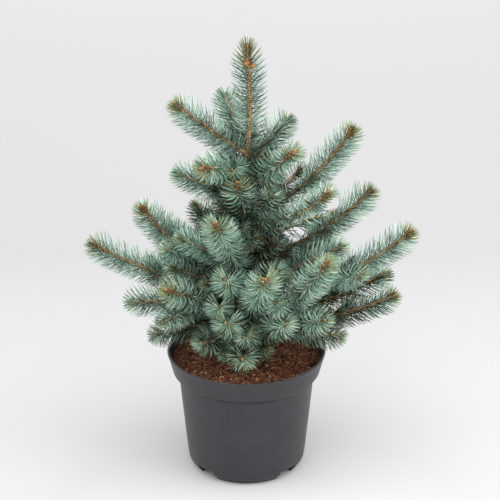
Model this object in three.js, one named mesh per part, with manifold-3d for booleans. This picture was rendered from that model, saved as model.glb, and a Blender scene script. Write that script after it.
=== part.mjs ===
// Potted blue spruce: a young tree in a round nursery container, about 54 cm tall over all.
// Millimetres, +Z up. The origin is the middle of the container's flat underside.
// The crown is a trunk, tapering boughs, and masses of needles that each keep to their own space.
import * as THREE from 'three';
import { mergeVertices } from 'three/addons/utils/BufferGeometryUtils.js';
import Module from 'manifold-3d';

const wasm = await Module();
wasm.setup();

// ---- Driving dimensions ----

const GAP = 0.3; // clearance between neighbouring pieces

const POT = {
  height: 150,
  rimRadius: 95,
  collarHeight: 24.5, // the upright band under the rim
  collarFootRadius: 89,
  stepHeight: 8, // the sloping step from the collar in to the body
  bodyTopRadius: 81.5,
  bodyFootRadius: 72,
  bodyFootHeight: 18,
  footRadius: 66,
  wall: 2,
  floor: 3.5,
  sides: 40,
};

// Drain notches round the foot.
const NOTCH = { count: 4, turn: 45.7, width: 26, depth: 22, height: 11.5, wall: 2 };

// The soil is slightly domed, up to a flat ring round the trunk.
const SOIL = { edgeHeight: 138, crownHeight: 141, crownRadius: 16 };

const TRUNK = {
  footRadius: 9.5, // root flare
  neckRadius: 6.8,
  neckHeight: 24,
  whorlHeight: 397, // where this year's leader starts
  whorlRadius: 3.4,
  tipHeight: 525,
  tipRadius: 2,
  point: 5, // length of the pointed end above the last ring
  sides: 10,
  rings: 14,
};

const BOUGH = { rootRadius: 3.1, tipRadius: 2.1, sides: 5, rings: 3 };

const SHOOT = {
  rootRadius: 2.3, // of the slim core that the needle blades stand on
  tipRadius: 1.5,
  point: 11, // length of the pointed end beyond the last ring
  ringSpacing: 17,
  leaderSize: 1.05, // how much larger the leader's needles are
  sleeveRadius: 5.4, // of the leader's core, which fits round the trunk
  sleeveTipRadius: 4,
};

const TWIG = {
  firstAt: 0.06, // share of the main shoot where the first side twig leaves
  spacing: 0.12,
  angle: 42, // degrees off the main shoot, before a seeded extra of up to angleSpread
  angleSpread: 14,
  lift: -4, // degrees up, before a seeded extra of up to liftSpread
  liftSpread: 16,
  share: 0.42, // length as a share of the main shoot's
  shareSpread: 0.2,
  clearance: 9, // least distance to any other mass's stems and to the rim's height
};

// Needles stand in blades with toothed edges, so many to the round, each tooth one spray.
const BLADE = {
  count: 5,
  length: 22,
  valley: 0.68, // depth between two teeth, as a share of the length
  rootAngle: 66, // degrees off the shoot at its root, closing to tipAngle at its tip
  tipAngle: 50,
  tipLoss: 0.35, // how much shorter the last needles are
  sweep: 0.14, // how much longer the needles above a shoot are, and shorter those below it
  boundary: 4, // how much nearer its own stems than any other mass's a tooth stays
  limbClearance: 2.5, // from a tooth to any bark
  potClearance: 2.5, // from a tooth down to the rim or the soil
};

// One row for each limb of the crown, from the top down. turn is the compass direction in degrees
// (0 is +X, 90 is +Y), from is where it leaves the trunk, reach and top place its tip, bare is the
// share that is a bough's bare wood, and twigs counts the side twigs. The first one leaves to the
// left, or to the right where side is -1.
const LIMBS = [
  { name: 'top_left', turn: -170, from: 398, reach: 85, top: 466, bare: 0, twigs: 0 },
  { name: 'top_back_left', turn: 120, from: 402, reach: 54, top: 461, bare: 0, twigs: 0 },
  { name: 'top_back_right', turn: 37, from: 391, reach: 66, top: 431, bare: 0, twigs: 0 },
  { name: 'top_front_right', turn: -47, from: 360, reach: 83, top: 425, bare: 0, twigs: 0 },
  { name: 'top_front_left', turn: -135, from: 383, reach: 76, top: 400, bare: 0, twigs: 1 },
  { name: 'upper_front', turn: -103, from: 312, reach: 48, top: 384, bare: 0, twigs: 0 },
  { name: 'upper_left', turn: 177, from: 342, reach: 86, top: 376, bare: 0, twigs: 1, side: -1 },
  { name: 'upper_front_right', turn: -52, from: 318, reach: 52, top: 368, bare: 0, twigs: 0 },
  { name: 'upper_back', turn: 75, from: 338, reach: 80, top: 385, bare: 0, twigs: 1 },
  { name: 'upper_back_left', turn: 130, from: 328, reach: 72, top: 372, bare: 0, twigs: 1, side: -1 },
  { name: 'upper_back_right', turn: 36, from: 318, reach: 86, top: 366, bare: 0, twigs: 1 },
  { name: 'shoulder_right', turn: 4, from: 318, reach: 125, top: 430, bare: 0.4, twigs: 0 },
  { name: 'shoulder_front_right', turn: -36, from: 308, reach: 118, top: 381, bare: 0.35, twigs: 1 },
  { name: 'shoulder_back_right', turn: 25, from: 290, reach: 104, top: 306, bare: 0, twigs: 2 },
  { name: 'shoulder_front_left', turn: -110, from: 242, reach: 104, top: 354, bare: 0, twigs: 1, side: -1 },
  { name: 'shoulder_back', turn: 72, from: 272, reach: 120, top: 345, bare: 0.35, twigs: 2, side: -1 },
  { name: 'shoulder_back_left', turn: 135, from: 270, reach: 90, top: 313, bare: 0, twigs: 2 },
  { name: 'middle_right', turn: 1, from: 262, reach: 148, top: 357, bare: 0.45, twigs: 1 },
  { name: 'middle_left', turn: -175, from: 234, reach: 124, top: 342, bare: 0.35, twigs: 2, side: -1 },
  { name: 'inner_front_left', turn: -106, from: 226, reach: 90, top: 280, bare: 0, twigs: 1, side: -1 },
  { name: 'middle_front_right', turn: -49, from: 190, reach: 139, top: 312, bare: 0.4, twigs: 2, side: -1 },
  { name: 'long_right', turn: -4, from: 205, reach: 195, top: 311, bare: 0.45, twigs: 1, side: -1 },
  { name: 'long_left', turn: 180, from: 222, reach: 186, top: 290, bare: 0.4, twigs: 1, side: -1 },
  { name: 'middle_front_left', turn: -143, from: 200, reach: 119, top: 261, bare: 0, twigs: 2 },
  { name: 'middle_front', turn: -79, from: 186, reach: 118, top: 294, bare: 0, twigs: 0 },
  { name: 'middle_back_right', turn: 42, from: 222, reach: 150, top: 290, bare: 0.4, twigs: 2 },
  { name: 'middle_back', turn: 95, from: 214, reach: 165, top: 292, bare: 0.4, twigs: 2, side: -1 },
  { name: 'middle_back_left', turn: 138, from: 218, reach: 150, top: 282, bare: 0.4, twigs: 2 },
  { name: 'inner_front_right', turn: -64, from: 219, reach: 84, top: 287, bare: 0, twigs: 1 },
  { name: 'inner_right', turn: -16, from: 228, reach: 120, top: 301, bare: 0, twigs: 1 },
  { name: 'inner_left', turn: -164, from: 226, reach: 96, top: 270, bare: 0, twigs: 0 },
  { name: 'inner_front', turn: -104, from: 182, reach: 102, top: 231, bare: 0, twigs: 1 },
  { name: 'low_right', turn: 0, from: 170, reach: 181, top: 223, bare: 0.45, twigs: 1 },
  { name: 'low_side_left', turn: -166, from: 212, reach: 147, top: 228, bare: 0, twigs: 1 },
  { name: 'low_side_right', turn: -24, from: 187, reach: 127, top: 189, bare: 0, twigs: 1 },
  { name: 'low_front_right', turn: -45, from: 176, reach: 132, top: 232, bare: 0, twigs: 2 },
  { name: 'low_front', turn: -64, from: 170, reach: 110, top: 231, bare: 0, twigs: 1, side: -1 },
  { name: 'low_front_left', turn: -128, from: 172, reach: 92, top: 191, bare: 0, twigs: 1 },
  { name: 'low_left', turn: -177, from: 194, reach: 118, top: 168, bare: 0, twigs: 1, side: -1 },
  { name: 'low_back_right', turn: 26, from: 176, reach: 198, top: 213, bare: 0.4, twigs: 2, side: -1 },
  { name: 'low_back', turn: 110, from: 168, reach: 150, top: 208, bare: 0.4, twigs: 2 },
  { name: 'lowest_front', turn: -93, from: 156, reach: 88, top: 178, bare: 0, twigs: 2 },
];

// Where a limb's middle control point lies along its reach and its rise. Young shoots, with no bare
// wood, are straighter.
const CURVE = { out: 0.62, up: 0.3, youngUp: 0.56 };

// ---- Solids and seeded numbers ----

/** Repeatable random numbers from 0 to 1, from a whole-number seed. */
function seededRandom(seed) {
  let state = seed >>> 0;
  return () => {
    state = (Math.imul(state, 1664525) + 1013904223) >>> 0;
    return state / 2 ** 32;
  };
}

/** The closed solid that a geometry encloses, with its shared vertices welded. */
function solidOf(geometry) {
  geometry.deleteAttribute('normal');
  geometry.deleteAttribute('uv');
  const welded = mergeVertices(geometry, 1e-4);
  const corners = Array.from(welded.index.array);
  const faces = [];
  for (let i = 0; i < corners.length; i += 3) {
    const [a, b, c] = corners.slice(i, i + 3);
    if (a !== b && b !== c && c !== a) faces.push(a, b, c);
  }
  const vertProperties = new Float32Array(welded.getAttribute('position').array);
  const triVerts = new Uint32Array(faces);
  return new wasm.Manifold(new wasm.Mesh({ numProp: 3, vertProperties, triVerts }));
}

/** A named mesh of a solid's largest piece, in a plain finish. */
function meshOf(name, solid, finish) {
  const pieces = solid.decompose().sort((a, b) => b.volume() - a.volume());
  const { vertProperties, triVerts } = pieces[0].simplify(0.01).getMesh();
  const geometry = new THREE.BufferGeometry();
  geometry.setAttribute('position', new THREE.BufferAttribute(vertProperties, 3));
  geometry.setIndex(new THREE.BufferAttribute(triVerts, 1));
  geometry.computeVertexNormals();
  const mesh = new THREE.Mesh(geometry, new THREE.MeshStandardMaterial(finish));
  mesh.name = name;
  return mesh;
}

/** A solid of revolution about +Z, from [radius, height] pairs that start and end on the axis. */
function turned(outline, sides) {
  const points = outline.map(([radius, height]) => new THREE.Vector2(radius, height));
  const geometry = new THREE.LatheGeometry(points, sides);
  geometry.rotateX(Math.PI / 2);
  return solidOf(geometry);
}

/** A tapering limb along a curve: a turned spindle bent on to it, with a pointed end if asked. */
function limb(curve, radii, sides, point = 0) {
  const last = radii.length - 1;
  const outline = [new THREE.Vector2(0, 0)];
  radii.forEach((radius, ring) => outline.push(new THREE.Vector2(radius, ring)));
  outline.push(new THREE.Vector2(0, last + 1));
  const geometry = new THREE.LatheGeometry(outline, sides);
  const frames = curve.computeFrenetFrames(last);
  const places = curve.getSpacedPoints(last);
  frames.normals.push(frames.normals[last]);
  frames.binormals.push(frames.binormals[last]);
  places.push(places[last].clone().addScaledVector(frames.tangents[last], point));
  const vertices = geometry.getAttribute('position');
  for (let i = 0; i < vertices.count; i += 1) {
    const ring = Math.round(vertices.getY(i));
    const bent = places[ring].clone();
    bent.addScaledVector(frames.normals[ring], vertices.getX(i));
    bent.addScaledVector(frames.binormals[ring], -vertices.getZ(i));
    vertices.setXYZ(i, bent.x, bent.y, bent.z);
  }
  return solidOf(geometry);
}

/** Radii from root to tip in even steps. */
function taper(rootRadius, tipRadius, rings) {
  const radii = [];
  for (let ring = 0; ring <= rings; ring += 1) {
    radii.push(THREE.MathUtils.lerp(rootRadius, tipRadius, ring / rings));
  }
  return radii;
}

// ---- Container and soil ----

/** The container's radius outside at a height on its body, below the step. */
function bodyRadius(height) {
  const top = POT.height - POT.collarHeight - POT.stepHeight;
  const share = (height - POT.bodyFootHeight) / (top - POT.bodyFootHeight);
  return THREE.MathUtils.lerp(POT.bodyFootRadius, POT.bodyTopRadius, share);
}

/** Heights of the underside of the collar and of the foot of the step under it. */
function collarHeights() {
  const collarFoot = POT.height - POT.collarHeight;
  return { collarFoot, stepFoot: collarFoot - POT.stepHeight };
}

/** Inside outline of the container, up from its floor, drawn in by inset and raised by lift. */
function insideOutline(inset, lift, top) {
  const { collarFoot, stepFoot } = collarHeights();
  const wall = POT.wall + inset;
  const rimShare = (top - collarFoot) / POT.collarHeight;
  const topRadius = THREE.MathUtils.lerp(POT.collarFootRadius, POT.rimRadius, rimShare) - wall;
  return [
    [0, POT.floor + lift],
    [POT.footRadius - wall, POT.floor + lift],
    [POT.bodyFootRadius - wall, POT.bodyFootHeight],
    [POT.bodyTopRadius - wall, stepFoot],
    [POT.collarFootRadius - wall, collarFoot],
    [topRadius, top],
  ];
}

/** Boxes round the foot that stand for the drain notches, grown on every side by extra. */
function notchBoxes(extra) {
  const boxes = [];
  for (let i = 0; i < NOTCH.count; i += 1) {
    const outside = 10;
    const length = NOTCH.depth + extra + outside;
    const height = 2 * (NOTCH.height + extra);
    const box = new THREE.BoxGeometry(length, NOTCH.width + 2 * extra, height);
    box.translate(POT.footRadius + outside - length / 2, 0, 0);
    box.rotateZ(THREE.MathUtils.degToRad(NOTCH.turn + (360 / NOTCH.count) * i));
    boxes.push(solidOf(box));
  }
  return wasm.Manifold.union(boxes);
}

function buildPot() {
  const { collarFoot, stepFoot } = collarHeights();
  const outside = turned([
    [0, 0],
    [POT.footRadius - 2, 0],
    [POT.footRadius, 3],
    [bodyRadius(8) - 1, 8],
    [POT.bodyFootRadius, POT.bodyFootHeight],
    [POT.bodyTopRadius, stepFoot],
    [POT.collarFootRadius, collarFoot],
    [POT.rimRadius, POT.height - 1],
    [POT.rimRadius - 0.8, POT.height],
    [0, POT.height],
  ], POT.sides);
  const brim = POT.height + 1;
  const inside = insideOutline(0, 0, brim);
  inside.push([0, brim]);
  const cavity = turned(inside, POT.sides).subtract(notchBoxes(NOTCH.wall));
  const pot = outside.subtract(cavity).subtract(notchBoxes(0));
  return meshOf('pot', pot, { color: 0x46454a, roughness: 0.45, metalness: 0 });
}

function buildSoil() {
  const outline = insideOutline(GAP, GAP, SOIL.edgeHeight);
  outline.push([SOIL.crownRadius, SOIL.crownHeight]);
  outline.push([0, SOIL.crownHeight]);
  const soil = turned(outline, POT.sides).subtract(notchBoxes(NOTCH.wall + GAP));
  return meshOf('soil', soil, { color: 0x3d2618, roughness: 1, metalness: 0 });
}

// ---- Trunk and boughs ----

const groundHeight = SOIL.crownHeight + GAP;

/** The trunk's centre line, with its slight bends, from just under the cut to the leader's tip. */
const trunkCurve = new THREE.CatmullRomCurve3([
  new THREE.Vector3(0, 0, groundHeight - 6),
  new THREE.Vector3(-2.5, 1.5, groundHeight + 70),
  new THREE.Vector3(2, -1.5, groundHeight + 165),
  new THREE.Vector3(1.5, 0, TRUNK.whorlHeight),
  new THREE.Vector3(4, 0, TRUNK.whorlHeight + 55),
  new THREE.Vector3(1.5, 0, TRUNK.tipHeight),
]);

/** The trunk's radius at a height: root flare, then a long taper, then the thin leader. */
function trunkRadius(height) {
  const above = height - groundHeight;
  const flare = (TRUNK.footRadius - TRUNK.neckRadius) * Math.exp((-3 * above) / TRUNK.neckHeight);
  const wood = THREE.MathUtils.mapLinear(
    Math.min(height, TRUNK.whorlHeight), groundHeight, TRUNK.whorlHeight,
    TRUNK.neckRadius, TRUNK.whorlRadius,
  );
  const leader = THREE.MathUtils.mapLinear(
    Math.max(height, TRUNK.whorlHeight), TRUNK.whorlHeight, TRUNK.tipHeight,
    0, TRUNK.whorlRadius - TRUNK.tipRadius,
  );
  return wood - leader + Math.min(flare, TRUNK.footRadius - TRUNK.neckRadius);
}

/** The trunk as a solid, grown all round by extra. */
function trunkSolid(extra) {
  const places = trunkCurve.getSpacedPoints(TRUNK.rings);
  const radii = places.map((place) => trunkRadius(place.z) + extra);
  const whole = limb(trunkCurve, radii, TRUNK.sides, TRUNK.point + 3 * extra);
  const below = new THREE.BoxGeometry(60, 60, 20);
  below.translate(0, 0, groundHeight - extra - 10);
  return whole.subtract(solidOf(below));
}

const grownTrunk = trunkSolid(GAP);

function pointOnTrunk(height) {
  const bottom = groundHeight - 6;
  const share = (height - bottom) / (TRUNK.tipHeight - bottom);
  return trunkCurve.getPointAt(THREE.MathUtils.clamp(share, 0, 1));
}

/** A limb's centre line: out low from the trunk, then bending up to its tip. */
function limbCurve(row) {
  const turn = THREE.MathUtils.degToRad(row.turn);
  const outward = new THREE.Vector3(Math.cos(turn), Math.sin(turn), 0);
  const root = pointOnTrunk(row.from);
  const tip = outward.clone().multiplyScalar(row.reach).setZ(row.top);
  const middle = outward.clone().multiplyScalar(row.reach * CURVE.out);
  middle.z = THREE.MathUtils.lerp(row.from, row.top, row.bare ? CURVE.up : CURVE.youngUp);
  return new THREE.QuadraticBezierCurve3(root, middle, tip);
}

/** The stretch of a longer curve between two shares of its length. */
class Stretch extends THREE.Curve {
  constructor(whole, start, end) {
    super();
    this.whole = whole;
    this.start = start;
    this.end = end;
  }

  getPoint(share, target) {
    return this.whole.getPointAt(THREE.MathUtils.lerp(this.start, this.end, share), target);
  }
}

/** A row's bough as a solid, grown all round by extra, from the trunk's middle outwards. */
function boughSolid(row, extra) {
  const wood = new Stretch(limbCurve(row), 0, row.bare);
  const radii = taper(BOUGH.rootRadius + extra, BOUGH.tipRadius + extra, BOUGH.rings);
  return limb(wood, radii, BOUGH.sides);
}

const boughRows = LIMBS.filter((row) => row.bare);
const grownWood = wasm.Manifold.union([grownTrunk, ...boughRows.map((row) => boughSolid(row, GAP))]);

function buildBough(row) {
  const bough = boughSolid(row, 0).subtract(grownTrunk);
  return meshOf(`bough_${row.name}`, bough, { color: 0x7a5b40, roughness: 0.9, metalness: 0 });
}

// ---- Skeleton of the crown: where every stem runs ----

/** A stem's sampled centre line, so that others can keep clear of it. */
function traced(stem, owner, radiusAt) {
  const steps = Math.max(2, Math.round(stem.getLength() / 4));
  const points = stem.getSpacedPoints(steps);
  return points.map((point) => ({ point, owner, stem, radius: radiusAt(point) }));
}

/** Distance from a point to the nearest traced place of an owner's own stems. */
function distanceTo(point, places) {
  return Math.min(...places.map((place) => place.point.distanceTo(point)));
}

/** A side twig's centre line, leaving the main shoot to one side and closing in on its direction. */
function twigCurve(main, at, side, random) {
  const root = main.getPointAt(at);
  const along = main.getTangentAt(at);
  const up = new THREE.Vector3(0, 0, 1);
  const across = new THREE.Vector3().crossVectors(up, along).normalize();
  const angle = THREE.MathUtils.degToRad(TWIG.angle + TWIG.angleSpread * random());
  const lift = THREE.MathUtils.degToRad(TWIG.lift + TWIG.liftSpread * random());
  const length = main.getLength() * (TWIG.share + TWIG.shareSpread * random());
  const heading = along.clone().multiplyScalar(Math.cos(angle));
  heading.addScaledVector(across, side * Math.sin(angle));
  heading.addScaledVector(up, Math.sin(lift));
  heading.normalize();
  const middle = root.clone().addScaledVector(heading, length * 0.5);
  const onward = heading.clone().addScaledVector(along, 0.3).normalize();
  const tip = middle.clone().addScaledVector(onward, length * 0.5);
  return new THREE.QuadraticBezierCurve3(root, middle, tip);
}

/** The main shoot of each mass: the leader on the trunk's top, then one beyond each limb's wood. */
function mainShoots() {
  const total = trunkCurve.getLength();
  const leaderStart = 1 - (TRUNK.tipHeight - TRUNK.whorlHeight - 14) / total;
  const leader = new Stretch(trunkCurve, leaderStart, 1);
  const shoots = [{ name: 'leader', main: leader, twigs: 0 }];
  for (const row of LIMBS) {
    const whole = limbCurve(row);
    const start = row.bare ? row.bare + GAP / whole.getLength() : 0;
    const end = 1 - SHOOT.point / whole.getLength();
    shoots.push({ side: 1, ...row, main: new Stretch(whole, start, end) });
  }
  return shoots;
}

/** Every mass with its stems, and the traced places of all stems and limbs. */
function growSkeleton() {
  const places = traced(trunkCurve, 'wood', (point) => trunkRadius(point.z));
  for (const row of boughRows) {
    const wood = new Stretch(limbCurve(row), 0, row.bare);
    places.push(...traced(wood, 'wood', () => BOUGH.rootRadius));
  }
  const masses = mainShoots().map((row) => ({ ...row, stems: [row.main] }));
  for (const mass of masses) {
    places.push(...traced(mass.main, mass.name, () => SHOOT.rootRadius));
  }
  masses.forEach((mass, index) => growTwigs(mass, index, places));
  return { masses, places };
}

/** Adds a mass's side twigs, left and right in turn, where there is room for them. */
function growTwigs(mass, index, places) {
  const random = seededRandom(1000 + 37 * index);
  for (let i = 0; i < mass.twigs; i += 1) {
    const at = TWIG.firstAt + TWIG.spacing * i + (mass.bare ? 0 : 0.3);
    const side = i % 2 ? -mass.side : mass.side;
    const curve = twigCurve(mass.main, at, side, random);
    const trace = traced(curve, mass.name, () => SHOOT.rootRadius);
    const others = places.filter((place) => place.owner !== mass.name);
    const clear = trace.slice(2).every(({ point }) => (
      point.z > POT.height + TWIG.clearance && distanceTo(point, others) > TWIG.clearance));
    if (clear) {
      mass.stems.push(curve);
      places.push(...trace);
    }
  }
}

// ---- Masses of needles ----

/** Whether a point on a stem's blade keeps clear of pot, soil, limbs and other masses' space. */
function inOwnSpace(point, stem, space) {
  const radius = Math.hypot(point.x, point.y);
  const floor = radius < POT.bodyTopRadius ? SOIL.crownHeight : POT.height;
  if (point.z < floor + BLADE.potClearance) return false;
  const limbs = space.limbs.filter((place) => place.stem !== stem);
  const clear = limbs.every((place) => (
    place.point.distanceTo(point) > place.radius + BLADE.limbClearance));
  return clear && distanceTo(point, space.others) > distanceTo(point, space.own) + BLADE.boundary;
}

/** How a spray leaves the shoot at a share of its length: its size, and its forward and outward parts. */
function sprayAt(share, scale, random) {
  const opening = THREE.MathUtils.lerp(BLADE.rootAngle, BLADE.tipAngle, share ** 2);
  const angle = THREE.MathUtils.degToRad(opening);
  const size = scale * BLADE.length * (1 - BLADE.tipLoss * share ** 3) * (0.9 + 0.2 * random());
  return { forward: size * Math.cos(angle), outward: size * Math.sin(angle) };
}

/** Where a blade's edge lies at one ring: a tooth or a valley, or null where neither is free. */
function bladeEdge(ring, spray, outward, before, stem, space) {
  const whole = ring.tangent.clone().multiplyScalar(spray.forward);
  whole.addScaledVector(outward, spray.outward);
  for (const share of spray.shares) {
    const edge = ring.centre.clone().addScaledVector(whole, share);
    const checks = [edge, edge.clone().lerp(ring.centre, 0.5), edge.clone().lerp(before, 0.5)];
    if (checks.every((point) => inOwnSpace(point, stem, space))) return edge;
  }
  return null;
}

/** The outline of a shoot at each ring: points round it, by turns on a blade's edge and on the core. */
function brushRings(stem, radii, scale, space, random) {
  const last = radii.length - 1;
  const frames = stem.computeFrenetFrames(last);
  const centres = stem.getSpacedPoints(last);
  const rows = [];
  for (let i = 0; i <= last; i += 1) {
    const ring = { centre: centres[i], tangent: frames.tangents[i] };
    const spray = sprayAt(i / last, scale, random);
    const row = [];
    for (let side = 0; side < 2 * BLADE.count; side += 1) {
      const around = (Math.PI * side) / BLADE.count;
      const outward = frames.normals[i].clone().multiplyScalar(Math.sin(around));
      outward.addScaledVector(frames.binormals[i], -Math.cos(around));
      const reach = 1 + BLADE.sweep * outward.z;
      const tooth = (i + side / 2) % 2 === 0;
      spray.shares = tooth ? [reach, reach * BLADE.valley] : [reach * BLADE.valley];
      const bladed = i > 0 && side % 2 === 0;
      const edge = bladed ? bladeEdge(ring, spray, outward, rows[i - 1][side], stem, space) : null;
      row.push(edge || ring.centre.clone().addScaledVector(outward, radii[i]));
    }
    rows.push(row);
  }
  const end = centres[last].clone().addScaledVector(frames.tangents[last], SHOOT.point);
  return { rows, start: centres[0], end };
}

/** A shoot with its needles: a slim core along a stem, with toothed blades all round it. */
function brush(stem, radii, scale, space, random) {
  const sides = 2 * BLADE.count;
  const { rows, start, end } = brushRings(stem, radii, scale, space, random);
  const outline = [new THREE.Vector2(0, 0)];
  rows.forEach((row, ring) => outline.push(new THREE.Vector2(1, ring)));
  outline.push(new THREE.Vector2(0, rows.length));
  const geometry = new THREE.LatheGeometry(outline, sides);
  const vertices = geometry.getAttribute('position');
  for (let i = 0; i < vertices.count; i += 1) {
    const [x, y, z] = [vertices.getX(i), vertices.getY(i), vertices.getZ(i)];
    const ring = Math.round(y);
    const side = (Math.round((Math.atan2(x, z) * BLADE.count) / Math.PI) + sides) % sides;
    const axisPoint = ring ? end : start;
    const place = Math.hypot(x, z) < 0.5 ? axisPoint : rows[ring][side];
    vertices.setXYZ(i, place.x, place.y, place.z);
  }
  return solidOf(geometry);
}

/** One mass of needles: its shoots fused into one solid, cut clear of the trunk and the boughs. */
function buildMass(mass, index, places) {
  const random = seededRandom(5000 + 91 * index);
  const leader = mass.name === 'leader';
  const own = places.filter((place) => place.owner === mass.name);
  const wood = places.filter((place) => place.owner === 'wood' && !leader);
  const others = places.filter((place) => place.owner !== mass.name && place.owner !== 'wood');
  const space = { own, others, limbs: [...wood, ...own] };
  const root = leader ? SHOOT.sleeveRadius : SHOOT.rootRadius;
  const tip = leader ? SHOOT.sleeveTipRadius : SHOOT.tipRadius;
  const shoots = mass.stems.map((stem) => {
    const rings = Math.max(3, Math.round(stem.getLength() / SHOOT.ringSpacing));
    return brush(stem, taper(root, tip, rings), leader ? SHOOT.leaderSize : 1, space, random);
  });
  const solid = wasm.Manifold.union(shoots).subtract(grownWood);
  const color = index % 3 ? 0x7f9f9c : 0x8fb0ab;
  return meshOf(`needles_${mass.name}`, solid, { color, roughness: 0.7, metalness: 0 });
}

// ---- Assembly ----

const spruce = new THREE.Group();
spruce.name = 'potted_blue_spruce';
spruce.add(buildPot(), buildSoil());
spruce.add(meshOf('trunk', trunkSolid(0), { color: 0x6b4f3a, roughness: 0.95, metalness: 0 }));
boughRows.forEach((row) => spruce.add(buildBough(row)));
const { masses, places } = growSkeleton();
masses.forEach((mass, index) => spruce.add(buildMass(mass, index, places)));

export default spruce;
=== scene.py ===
"""A young blue spruce in a round nursery container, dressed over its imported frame.

The crown grows by one seeded rule: limbs leave the trunk, side twigs leave the limbs, and finer
twigs, needles and buds are carried on from them. Lengths in the rule are millimetres, and every
finished piece is in metres, with its place in its mesh.
"""

import functools
import itertools
import logging
import math
from collections.abc import Callable, Sequence
from dataclasses import dataclass, field
from enum import Enum

import bpy
import numpy as np
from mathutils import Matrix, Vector


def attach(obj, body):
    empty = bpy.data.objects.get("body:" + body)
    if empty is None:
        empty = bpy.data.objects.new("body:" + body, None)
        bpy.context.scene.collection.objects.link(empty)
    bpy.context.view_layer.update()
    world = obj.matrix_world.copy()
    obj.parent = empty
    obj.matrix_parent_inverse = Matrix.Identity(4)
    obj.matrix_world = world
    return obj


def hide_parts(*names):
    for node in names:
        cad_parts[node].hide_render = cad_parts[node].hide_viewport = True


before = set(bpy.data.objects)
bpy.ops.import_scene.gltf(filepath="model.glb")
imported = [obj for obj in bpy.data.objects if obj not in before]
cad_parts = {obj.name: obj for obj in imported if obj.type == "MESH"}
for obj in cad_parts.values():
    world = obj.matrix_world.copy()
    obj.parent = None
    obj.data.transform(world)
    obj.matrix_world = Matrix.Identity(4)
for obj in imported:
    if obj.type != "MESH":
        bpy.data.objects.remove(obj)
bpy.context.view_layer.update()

LOG = logging.getLogger("blue_spruce")
MM = 0.001
UP = np.array([0.0, 0.0, 1.0])
GOLDEN_TURN = math.pi * (3 - math.sqrt(5))

Array = np.ndarray
Random = np.random.Generator
Piece = bpy.types.Object
Socket = bpy.types.NodeSocket
Sockets = dict[str | int, object]
Triple = tuple[float, float, float]
Rings = Sequence[tuple[float, float]]


# ---- Seeded numbers, vectors and centre lines ----


class Seeded:
    """Repeatable numbers from 0 to 1, from a whole-number seed."""

    def __init__(self, seed: int) -> None:
        """Starts the row of numbers.

        Args:
            seed: The whole number that the row starts from.
        """
        self.state = seed & 0xFFFFFFFF

    def __call__(self) -> float:
        """The next number of the row."""
        self.state = (self.state * 1664525 + 1013904223) & 0xFFFFFFFF
        return self.state / 2**32


def unit(vectors: Array) -> Array:
    """The same directions with a length of one."""
    return vectors / (np.linalg.norm(vectors, axis=-1, keepdims=True) + 1e-12)


def between(low: float, high: float, share: float) -> float:
    """The number at a share of the way from low to high."""
    return low + (high - low) * share


def compass(turn: float) -> Array:
    """The level direction at a turn round the upright axis."""
    return np.array([math.cos(turn), math.sin(turn), 0.0])


def around(turn: Array, above: Array, left: Array) -> Array:
    """Directions straight out of a stem, at turns from its upper side to its left side."""
    return np.cos(turn)[..., None] * above + np.sin(turn)[..., None] * left


class Path:
    """A smooth centre line, read by shares of its own length."""

    STEPS = 160
    NEAR = 0.01
    STEEP = 0.93

    def __init__(self, points: Array) -> None:
        """Measures the line.

        Args:
            points: Close points along the line, in millimetres.
        """
        steps = np.linalg.norm(np.diff(points, axis=0), axis=1)
        self.points = points
        self.marks = np.concatenate([[0.0], np.cumsum(steps)])

    @property
    def length(self) -> float:
        """The line's length in millimetres."""
        return float(self.marks[-1])

    def at(self, shares: Array) -> Array:
        """Points at these shares of the length."""
        wanted = np.clip(shares, 0, 1) * self.length
        columns = [np.interp(wanted, self.marks, self.points[:, k]) for k in range(3)]
        return np.stack(columns, axis=-1)

    def along(self, shares: Array) -> Array:
        """Directions of the line at these shares of the length."""
        shares = np.asarray(shares, float)
        return unit(self.at(shares + self.NEAR) - self.at(shares - self.NEAR))

    def stretch(self, start: float, end: float) -> "Path":
        """The part of the line between two shares of its length."""
        return Path(self.at(np.linspace(start, end, self.STEPS + 1)))

    def frames(self, shares: Array) -> tuple[Array, Array, Array]:
        """Direction, upper side and left side of the line at these shares.

        Args:
            shares: Shares of the line's length.

        Returns:
            Three rows of unit vectors at right angles to each other.
        """
        along = self.along(shares)
        steep = abs(along.mean(axis=0)[2]) > self.STEEP
        above = np.array([0.0, -1.0, 0.0]) if steep else UP
        left = unit(np.cross(above, along))
        return along, np.cross(along, left), left

    @classmethod
    def bent(cls, root: Array, middle: Array, tip: Array) -> "Path":
        """A line from root to tip that leans towards one middle point."""
        t = np.linspace(0, 1, cls.STEPS + 1)[:, None]
        return cls((1 - t) ** 2 * root + 2 * t * (1 - t) * middle + t**2 * tip)

    @classmethod
    def through(cls, knots: list[Triple]) -> "Path":
        """A smooth line through a few knots, with even bends between them.

        Args:
            knots: The places that the line goes through, in millimetres.

        Returns:
            The line.
        """
        row = np.array(knots)
        row = np.vstack([2 * row[0] - row[1], row, 2 * row[-1] - row[-2]])
        t = np.linspace(0, 1, cls.STEPS // 4, endpoint=False)[:, None]
        parts = []
        for p0, p1, p2, p3 in zip(row, row[1:], row[2:], row[3:]):
            gaps = ((p0, p1), (p1, p2), (p2, p3))
            d0, d1, d2 = (math.sqrt(np.linalg.norm(b - a)) for a, b in gaps)
            m1 = ((p1 - p0) / d0 - (p2 - p0) / (d0 + d1) + (p2 - p1) / d1) * d1
            m2 = ((p2 - p1) / d1 - (p3 - p1) / (d1 + d2) + (p3 - p2) / d2) * d1
            cubic = 2 * p1 - 2 * p2 + m1 + m2
            parts.append(p1 + m1 * t + (3 * (p2 - p1) - 2 * m1 - m2) * t**2 + cubic * t**3)
        return cls(np.vstack([*parts, row[-2]]))


# ---- The crown's plan, as the solids have it ----


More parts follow.
